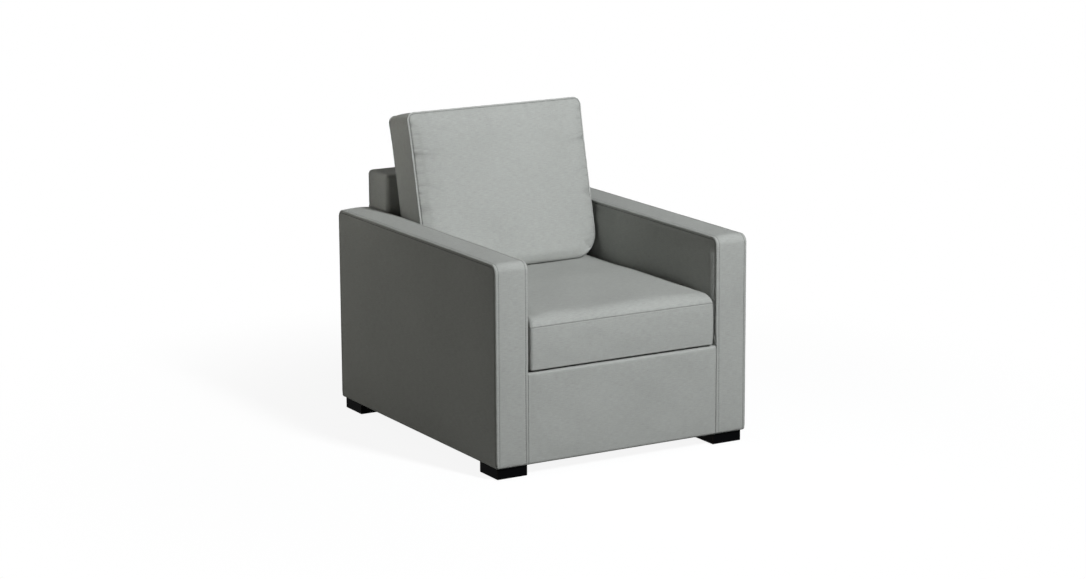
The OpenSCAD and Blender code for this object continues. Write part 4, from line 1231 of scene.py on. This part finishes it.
# %% Geometry nodes for what repeats
def repeat_tree(name, finish, sizes, jitter, seed):
    """Instances of a small rounded bar along a path, which carries its outward direction in 'out'."""
    tree = bpy.data.node_groups.new(name, "GeometryNodeTree")
    tree.interface.new_socket("Path", in_out="INPUT", socket_type="NodeSocketGeometry")
    for label, value in sizes.items():
        socket = tree.interface.new_socket(label, in_out="INPUT", socket_type="NodeSocketFloat")
        socket.default_value = value
    tree.interface.new_socket("Result", in_out="OUTPUT", socket_type="NodeSocketGeometry")
    source = tree.nodes.new("NodeGroupInput").outputs

    def node(kind, settings, sockets, out=0):
        return add_node(tree, kind, settings, sockets).outputs[out]

    curve = node("GeometryNodeMeshToCurve", None, {"Mesh": source["Path"]})
    even = node("GeometryNodeResampleCurve", {"mode": "LENGTH"}, {
        "Curve": curve, "Length": source["Spacing"]})
    out = node("GeometryNodeInputNamedAttribute", {"data_type": "FLOAT_VECTOR"}, {"Name": "out"})
    tangent = node("GeometryNodeInputTangent", None, None)
    upright = node("FunctionNodeAxesToRotation", {"primary_axis": "Z", "secondary_axis": "X"}, {
        0: out, 1: tangent})
    turn = node("FunctionNodeRandomValue", {"data_type": "FLOAT"}, {2: -jitter, 3: jitter, "Seed": seed}, 1)
    slant = node("FunctionNodeEulerToRotation", None, {0: node("ShaderNodeCombineXYZ", None, {"Z": turn})})
    turned = node("FunctionNodeRotateRotation", {"rotation_space": "LOCAL"}, {0: upright, 1: slant})
    bead = node("GeometryNodeMeshUVSphere", None, {"Segments": 6, "Rings": 5, "Radius": 0.5})
    size = node("ShaderNodeCombineXYZ", None, {
        "X": source["Length"], "Y": source["Width"], "Z": source["Height"]})
    shaped = node("GeometryNodeTransform", None, {"Geometry": bead, "Scale": size})
    copies = node("GeometryNodeInstanceOnPoints", None, {
        "Points": even, "Instance": shaped, "Rotation": turned})
    real = node("GeometryNodeRealizeInstances", None, {"Geometry": copies})
    painted = node("GeometryNodeSetMaterial", None, {"Geometry": real, "Material": finish.material})
    add_node(tree, "NodeGroupOutput", None, {0: painted})
    return tree


def repeat_along(name, body, tree, sizes, runs, lift=0.0):
    """One mesh of the tree's copies along runs of (points, outward directions) in millimetres."""
    places, edges, outwards = [], [], []
    for points, outward in runs:
        start = sum(len(p) for p in places)
        places.append((points + lift * outward) * 0.001)
        edges.append(start + stack(np.arange(len(points) - 1), np.arange(1, len(points))))
        outwards.append(outward)
    mesh = bpy.data.meshes.new(name + "_path")
    mesh.from_pydata(np.concatenate(places).tolist(), np.concatenate(edges).tolist(), [])
    mesh.attributes.new("out", "FLOAT_VECTOR", "POINT").data.foreach_set(
        "vector", np.concatenate(outwards).astype(np.float32).ravel())
    piece = bpy.data.objects.new(name, mesh)
    bpy.context.collection.objects.link(piece)
    modifier = piece.modifiers.new("copies", "NODES")
    modifier.node_group = tree
    for socket in tree.interface.items_tree:
        if socket.in_out == "INPUT" and socket.name in sizes:
            modifier[socket.identifier] = sizes[socket.name]
    done = bpy.data.meshes.new_from_object(piece.evaluated_get(bpy.context.evaluated_depsgraph_get()))
    piece.modifiers.remove(modifier)
    piece.data = done
    bpy.data.meshes.remove(mesh)
    done.name = name
    done.shade_smooth()
    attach(piece, body)
    print(f"{name}: {len(done.polygons)} faces")


# %% [markdown]
# Sewing thread is a shade darker than the cloth, and shines a little more.

# %% Stitches
thread = speckled("sewing_thread", (0.15, 0.153, 0.146), (2500.0, 1.0), shades=(0.8, 0.4), relief=0.0001,
                  Roughness=0.6, Sheen_Weight=0.1)
STITCH = {"Spacing": 0.005, "Length": 0.0036, "Width": 0.0009, "Height": 0.0008}
stitch_tree = repeat_tree("stitches", thread, STITCH, 0.09, 5)
for body, runs in stitch_runs.items():
    repeat_along(body + "_stitches", body, stitch_tree, STITCH, runs, 0.2)

# %% [markdown]
# The zips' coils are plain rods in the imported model. A row of rings round each makes them coils again.
# The rings stand 0.2 mm proud of the rod, which leaves the sliders' channels clear. The back cushion's
# zip faces down, into the seat cushion.

# %% Zip teeth
coil = speckled("zip_coil", (0.10, 0.105, 0.10), (600.0, 2.0), shades=(0.7, 0.6), roughness=(0.35, 0.25))
TOOTH = {"Spacing": 0.0016, "Length": 0.0015, "Width": 0.0041, "Height": 0.0036}
STOP_H, STOP_L = 2.4, 6.0   # how far a zip's end stops rise over its coil's middle, and their length
tooth_tree = repeat_tree("zip_teeth", coil, TOOTH, 0.0, 1)
for zipped, axis, way in (("seat", 1, 1), ("back", 2, -1)):
    body = zipped + "_cushion"
    start, end = low(body + "_zip"), high(body + "_zip")
    centre = (start + end) / 2
    centre[axis] = (end if way > 0 else start)[axis] - way * STOP_H
    run = stack(np.linspace(start[0] + STOP_L, end[0] - STOP_L, 60), centre[1], centre[2])
    repeat_along(zipped + "_zip_teeth", body, tooth_tree, TOOTH,
                 [(run, np.tile(way * np.eye(3)[axis], (60, 1)))])

# %% [markdown]
# The cloth under the chair is stapled every four centimetres, close to its edge.

# %% Staples
staple_steel = speckled("staple_steel", (0.42, 0.42, 0.43), (300.0, 2.0), roughness=(0.25, 0.3),
                        Metallic=1.0)
STAPLE = {"Spacing": 0.04, "Length": 0.010, "Width": 0.0012, "Height": 0.0012}
staple_tree = repeat_tree("staples", staple_steel, STAPLE, 0.3, 9)
EDGE_GAP, SUNK_IN = 7, 1.6   # from the cloth's edge to the staples, and from its top down to them
corners = stack([-1, 1, 1, -1, -1], [-1, -1, 1, 1, -1]) * (dust_high[:2] - EDGE_GAP)
border = []
for start, end in zip(corners, corners[1:]):
    place = start + (end - start) * np.linspace(0, 1, 40)[:, None]
    border.append((stack(*place.T, dust_high[2] - SUNK_IN), np.tile((0.0, 0.0, -1.0), (40, 1))))
repeat_along("underside_staples", "chair", staple_tree, STAPLE, border)

# %% [markdown]
# The hard parts keep their meshes and get real finishes. Timber shows long grain, so its noise is
# stretched along each rail. Webbing, spring cloth and tapes are coarse weaves.

# %% Timber, board and webbing
def timber(name, axis):
    wood = Finish(name, (0.55, 0.38, 0.22), Specular_IOR_Level=0.3)
    x, y, z = wood.split(wood.place())
    stretch = [14.0, 14.0, 14.0]
    stretch[axis] = 0.9
    grain_at = wood.vector(x * stretch[0], y * stretch[1], z * stretch[2])
    stripes = (wood.noise(1.6, 3.0, 0.6, grain_at) * 60.0).sin() * 0.5 + 0.5
    pores = wood.noise(26.0, 3.0, 0.7, grain_at)
    wood.feed("Base Color", wood.between((0.60, 0.43, 0.25), (0.46, 0.29, 0.15),
                                         0.65 * stripes + 0.35 * pores))
    wood.feed("Roughness", 0.55 + 0.25 * pores)
    wood.bump(pores + 0.3 * stripes, 0.0003)
    return wood


woods = [timber("beech_along_" + axis, index) for index, axis in enumerate("xyz")]

board = speckled("lining_board", (0.42, 0.30, 0.18), (260.0, 4.0, 0.7), roughness=(0.75, 0.2), relief=0.0002,
                 between=((0.34, 0.23, 0.13), (0.52, 0.39, 0.25)))
spring_steel = speckled("spring_steel", (0.30, 0.31, 0.33), (120.0, 4.0, 0.6), roughness=(0.25, 0.35),
                        between=((0.20, 0.20, 0.22), (0.42, 0.43, 0.45)), Metallic=1.0)
zinc = speckled("zinc_plated", (0.62, 0.62, 0.60), (180.0, 3.0), roughness=(0.22, 0.3),
                between=((0.52, 0.52, 0.52), (0.70, 0.69, 0.66)), Metallic=1.0)
nylon = speckled("nylon_glide", (0.60, 0.59, 0.55), (350.0, 3.0), roughness=(0.4, 0.3),
                 between=((0.50, 0.49, 0.45), (0.68, 0.67, 0.63)), Specular_IOR_Level=0.5)


def woven(name, colour, other, pitch, axes):
    """A coarse flat weave that follows two axes of the chair."""
    strap = Finish(name, colour, Specular_IOR_Level=0.25)
    at = strap.split(strap.place())
    first = (at[axes[0]] * (2 * math.pi / pitch)).sin()
    second = (at[axes[1]] * (2 * math.pi / pitch)).sin()
    knit = 0.5 + 0.5 * first * second
    fuzz = strap.noise(700.0, 2.0)
    strap.feed("Base Color", strap.between(colour, other, 0.6 * knit + 0.4 * fuzz))
    strap.feed("Roughness", 0.8 + 0.15 * fuzz)
    strap.bump(knit + 0.4 * fuzz, 0.0004)
    return strap


webbing = woven("jute_webbing", (0.30, 0.21, 0.12), (0.46, 0.36, 0.23), 0.003, (0, 2))
spring_cover = woven("spring_cloth", (0.36, 0.29, 0.20), (0.50, 0.43, 0.32), 0.0018, (0, 1))
zip_tape = woven("zip_tape", (0.12, 0.125, 0.12), (0.17, 0.175, 0.165), 0.0008, (0, 1))
tie = woven("spring_tie", (0.07, 0.06, 0.05), (0.13, 0.11, 0.09), 0.0015, (0, 1))
print("finishes for the frame:", [w.material.name for w in woods], board.material.name)

# %% [markdown]
# The feet are painted nearly black, and their paint is rubbed along the edges. An edge is found from
# how near a point lies to two faces of its foot at once. After that each hard part gets its finish.

# %% Feet, and what each hard part wears
foot_paint = Finish("black_foot_paint", (0.002, 0.002, 0.0024), Specular_IOR_Level=0.02)
foot_low, foot_high = low("front_right_foot") / 1000, high("front_right_foot") / 1000
foot_middle, foot_half = (foot_low + foot_high) / 2, (foot_high - foot_low) / 2
x, y, z = foot_paint.split(foot_paint.place())
to_x = foot_half[0] - (x.abs() - foot_middle[0]).abs()
to_y = foot_half[1] - (y.abs() - abs(foot_middle[1])).abs()
to_z = foot_half[2] - (z - foot_middle[2]).abs()
edge = to_x.most(to_y).least(to_y.most(to_z)).least(to_x.most(to_z))
scuffs = foot_paint.noise(220.0, 4.0, 0.65)
worn = foot_paint.node("ShaderNodeMapRange", None, {
    "Value": edge - 0.0022 * scuffs, "From Min": 0.0012, "From Max": -0.0002, "To Min": 0.0, "To Max": 1.0})
foot_paint.feed("Base Color", foot_paint.between((0.0015, 0.0016, 0.002), (0.016, 0.013, 0.010), 0.6 * worn))
foot_paint.feed("Roughness", 0.5 + 0.25 * scuffs)
foot_paint.bump(foot_paint.noise(1.0, 3.0, at=foot_paint.vector(x * 30, y * 300, z * 300)), 0.00025)

WEARS = {"board": board, "spring_steel": spring_steel, "fittings": zinc, "webbing": webbing,
         "feet": foot_paint, "glide": nylon, "zip": zip_tape}
LONG_AXIS = {"rail": 0, "side_rail": 1, "arm_top_rail": 1, "post": 2, "corner_blocks": 1}
SPECIAL = {"spring_cloth": spring_cover, "spring_ties": tie, "seat_zip_slider": zinc,
           "back_zip_slider": zinc, "rear_board": board}
dressed = 0
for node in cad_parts:
    carried = bpy.data.objects.get(node)
    if carried is None or carried.type != "MESH":
        continue
    slot_name = carried.material_slots[0].material.name.split(".")[0] if carried.material_slots else ""
    if node in SPECIAL:
        finish = SPECIAL[node]
    elif slot_name == "timber":
        ending = max((e for e in LONG_AXIS if node.endswith(e)), key=len)
        finish = woods[LONG_AXIS[ending]]
    else:
        finish = WEARS.get(slot_name)
    if finish:
        for slot in carried.material_slots:
            slot.material = finish.material
        dressed += 1
print(dressed, "hard parts have their finishes")

# %% [markdown]
# The chair stands on a plain pale floor, in white surroundings. Both are white only to rays that come
# straight from the camera, or by way of a shiny or clear surface. All other rays see a dim floor and
# almost no surroundings, so that white does not light the chair. Near the chair the floor takes a
# faint shadow, and further out it goes over to plain white.

# %% Floor and surroundings
def white_to_the_eye(tree, seen_by_eye, seen_by_light, end):
    """One shader for rays that show the surroundings, and another for rays that only bring light."""
    path = add_node(tree, "ShaderNodeLightPath").outputs
    share = Value(tree, path["Is Camera Ray"]).most(path["Is Glossy Ray"]).most(path["Is Transmission Ray"])
    pick = add_node(tree, "ShaderNodeMixShader", None, {0: share, 1: seen_by_light, 2: seen_by_eye})
    add_node(tree, end, None, {0: pick.outputs[0]})


def shader(tree, kind, colour, **strength):
    return add_node(tree, kind, None, {"Color": (*colour, 1), **strength}).outputs[0]


floor_mesh = bpy.data.meshes.new("floor")
floor_mesh.from_pydata([(-40, -40, 0), (40, -40, 0), (40, 40, 0), (-40, 40, 0)], [], [(0, 1, 2, 3)])
floor = bpy.data.objects.new("floor", floor_mesh)
bpy.context.collection.objects.link(floor)
pale = Finish("pale_floor", (0.9, 0.9, 0.9))
pale.tree.nodes.clear()
both = pale.node("ShaderNodeAddShader", None, {
    0: shader(pale.tree, "ShaderNodeEmission", (1, 1, 1), Strength=0.90),
    1: shader(pale.tree, "ShaderNodeBsdfDiffuse", (0.13, 0.13, 0.13))})
away = pale.node("ShaderNodeVectorMath", {"operation": "LENGTH"}, {"Vector": pale.place()}, out=1)
far = pale.node("ShaderNodeMapRange", {"interpolation_type": "SMOOTHSTEP"}, {
    "Value": away, "From Min": 0.7, "From Max": 1.9})
fade = pale.node("ShaderNodeMixShader", None, {
    0: far, 1: both, 2: shader(pale.tree, "ShaderNodeEmission", (1, 1, 1), Strength=1.0)})
dim = shader(pale.tree, "ShaderNodeBsdfDiffuse", (0.20, 0.20, 0.195))
white_to_the_eye(pale.tree, fade, dim, "ShaderNodeOutputMaterial")
floor_mesh.materials.append(pale.material)

world = bpy.data.worlds.new("studio")
bpy.context.scene.world = world
world.use_nodes = True
world.node_tree.nodes.clear()
white = shader(world.node_tree, "ShaderNodeBackground", (1, 1, 1), Strength=1.0)
dim = shader(world.node_tree, "ShaderNodeBackground", (1.0, 0.97, 0.93), Strength=0.02)
white_to_the_eye(world.node_tree, white, dim, "ShaderNodeOutputWorld")
print("the floor fades to white between 0.7 and 1.9 m from the middle")

# %% [markdown]
# One tall, narrow lamp stands high in front, in line with the right arm, so its light only just misses
# the inside of that arm. It does nearly all the work, and the whole seat stays free of shadows. Four
# weak lamps keep the other sides from going black: one behind on the left, one low on the left, one
# above and behind for the tops, and a narrow one for the back cushion's left side.

# %% Lamps
def lamp(name, place, target, size, power, colour, spread=180):
    light = bpy.data.lights.new(name, "AREA")
    light.shape = "RECTANGLE"
    light.size, light.size_y = size
    light.energy = power
    light.color = colour
    light.spread = math.radians(spread)
    holder = bpy.data.objects.new(name, light)
    bpy.context.collection.objects.link(holder)
    holder.location = place
    holder.rotation_euler = (Vector(place) - Vector(target)).to_track_quat("Z", "Y").to_euler()
    print(f"{name}: {power} W")


middle = (0, 0, 0.45)
lamp("key_lamp", (0.9, -4.5, 4.0), (0, 0, 1.3), (0.5, 1.5), 97.0, (0.97, 0.99, 1.005), 90)
lamp("rear_left_lamp", (-1.8, 1.2, 1.1), (-0.35, 0.2, 0.6), (0.8, 0.8), 4.8, (1.0, 0.985, 0.93))
lamp("low_left_lamp", (-3.0, -0.5, 0.7), middle, (1.5, 1.2), 5.0, (1.0, 0.985, 0.93))
lamp("top_lamp", (0.2, 1.6, 2.6), middle, (1.5, 1.5), 6.0, (1.0, 1.0, 1.0))
lamp("cushion_side_lamp", (-2.2, 0.6, 1.2), (-0.3, 0.32, 0.88), (0.2, 0.2), 0.1, (1.0, 0.985, 0.93), 20)

# %% [markdown]
# The camera stands well back, to the chair's left, and looks a little down on it through a long lens.

# %% Camera
FOCAL, SENSOR = 99.646409, 36.0   # both in millimetres
azimuth, pitch, roll = (math.radians(d) for d in (-30.22, 12.53, -0.31))
back = Vector((math.sin(azimuth) * math.cos(pitch), -math.cos(azimuth) * math.cos(pitch), math.sin(pitch)))
right = Vector((math.cos(azimuth), math.sin(azimuth), 0))
up = back.cross(right)
turned_right = math.cos(roll) * right + math.sin(roll) * up
turned_up = -math.sin(roll) * right + math.cos(roll) * up
lens = bpy.data.cameras.new("camera")
lens.sensor_width, lens.lens, lens.clip_end = SENSOR, FOCAL, 200.0
camera = bpy.data.objects.new("camera", lens)
bpy.context.collection.objects.link(camera)
camera.matrix_world = Matrix((
    (turned_right[0], turned_up[0], back[0], -4.403),
    (turned_right[1], turned_up[1], back[1], -7.587),
    (turned_right[2], turned_up[2], back[2], 2.364),
    (0, 0, 0, 1)))
bpy.context.scene.camera = camera
bpy.context.scene.view_settings.view_transform = "Standard"
print(f"camera with a {FOCAL:.1f} mm lens, {camera.location.length:.2f} m away")
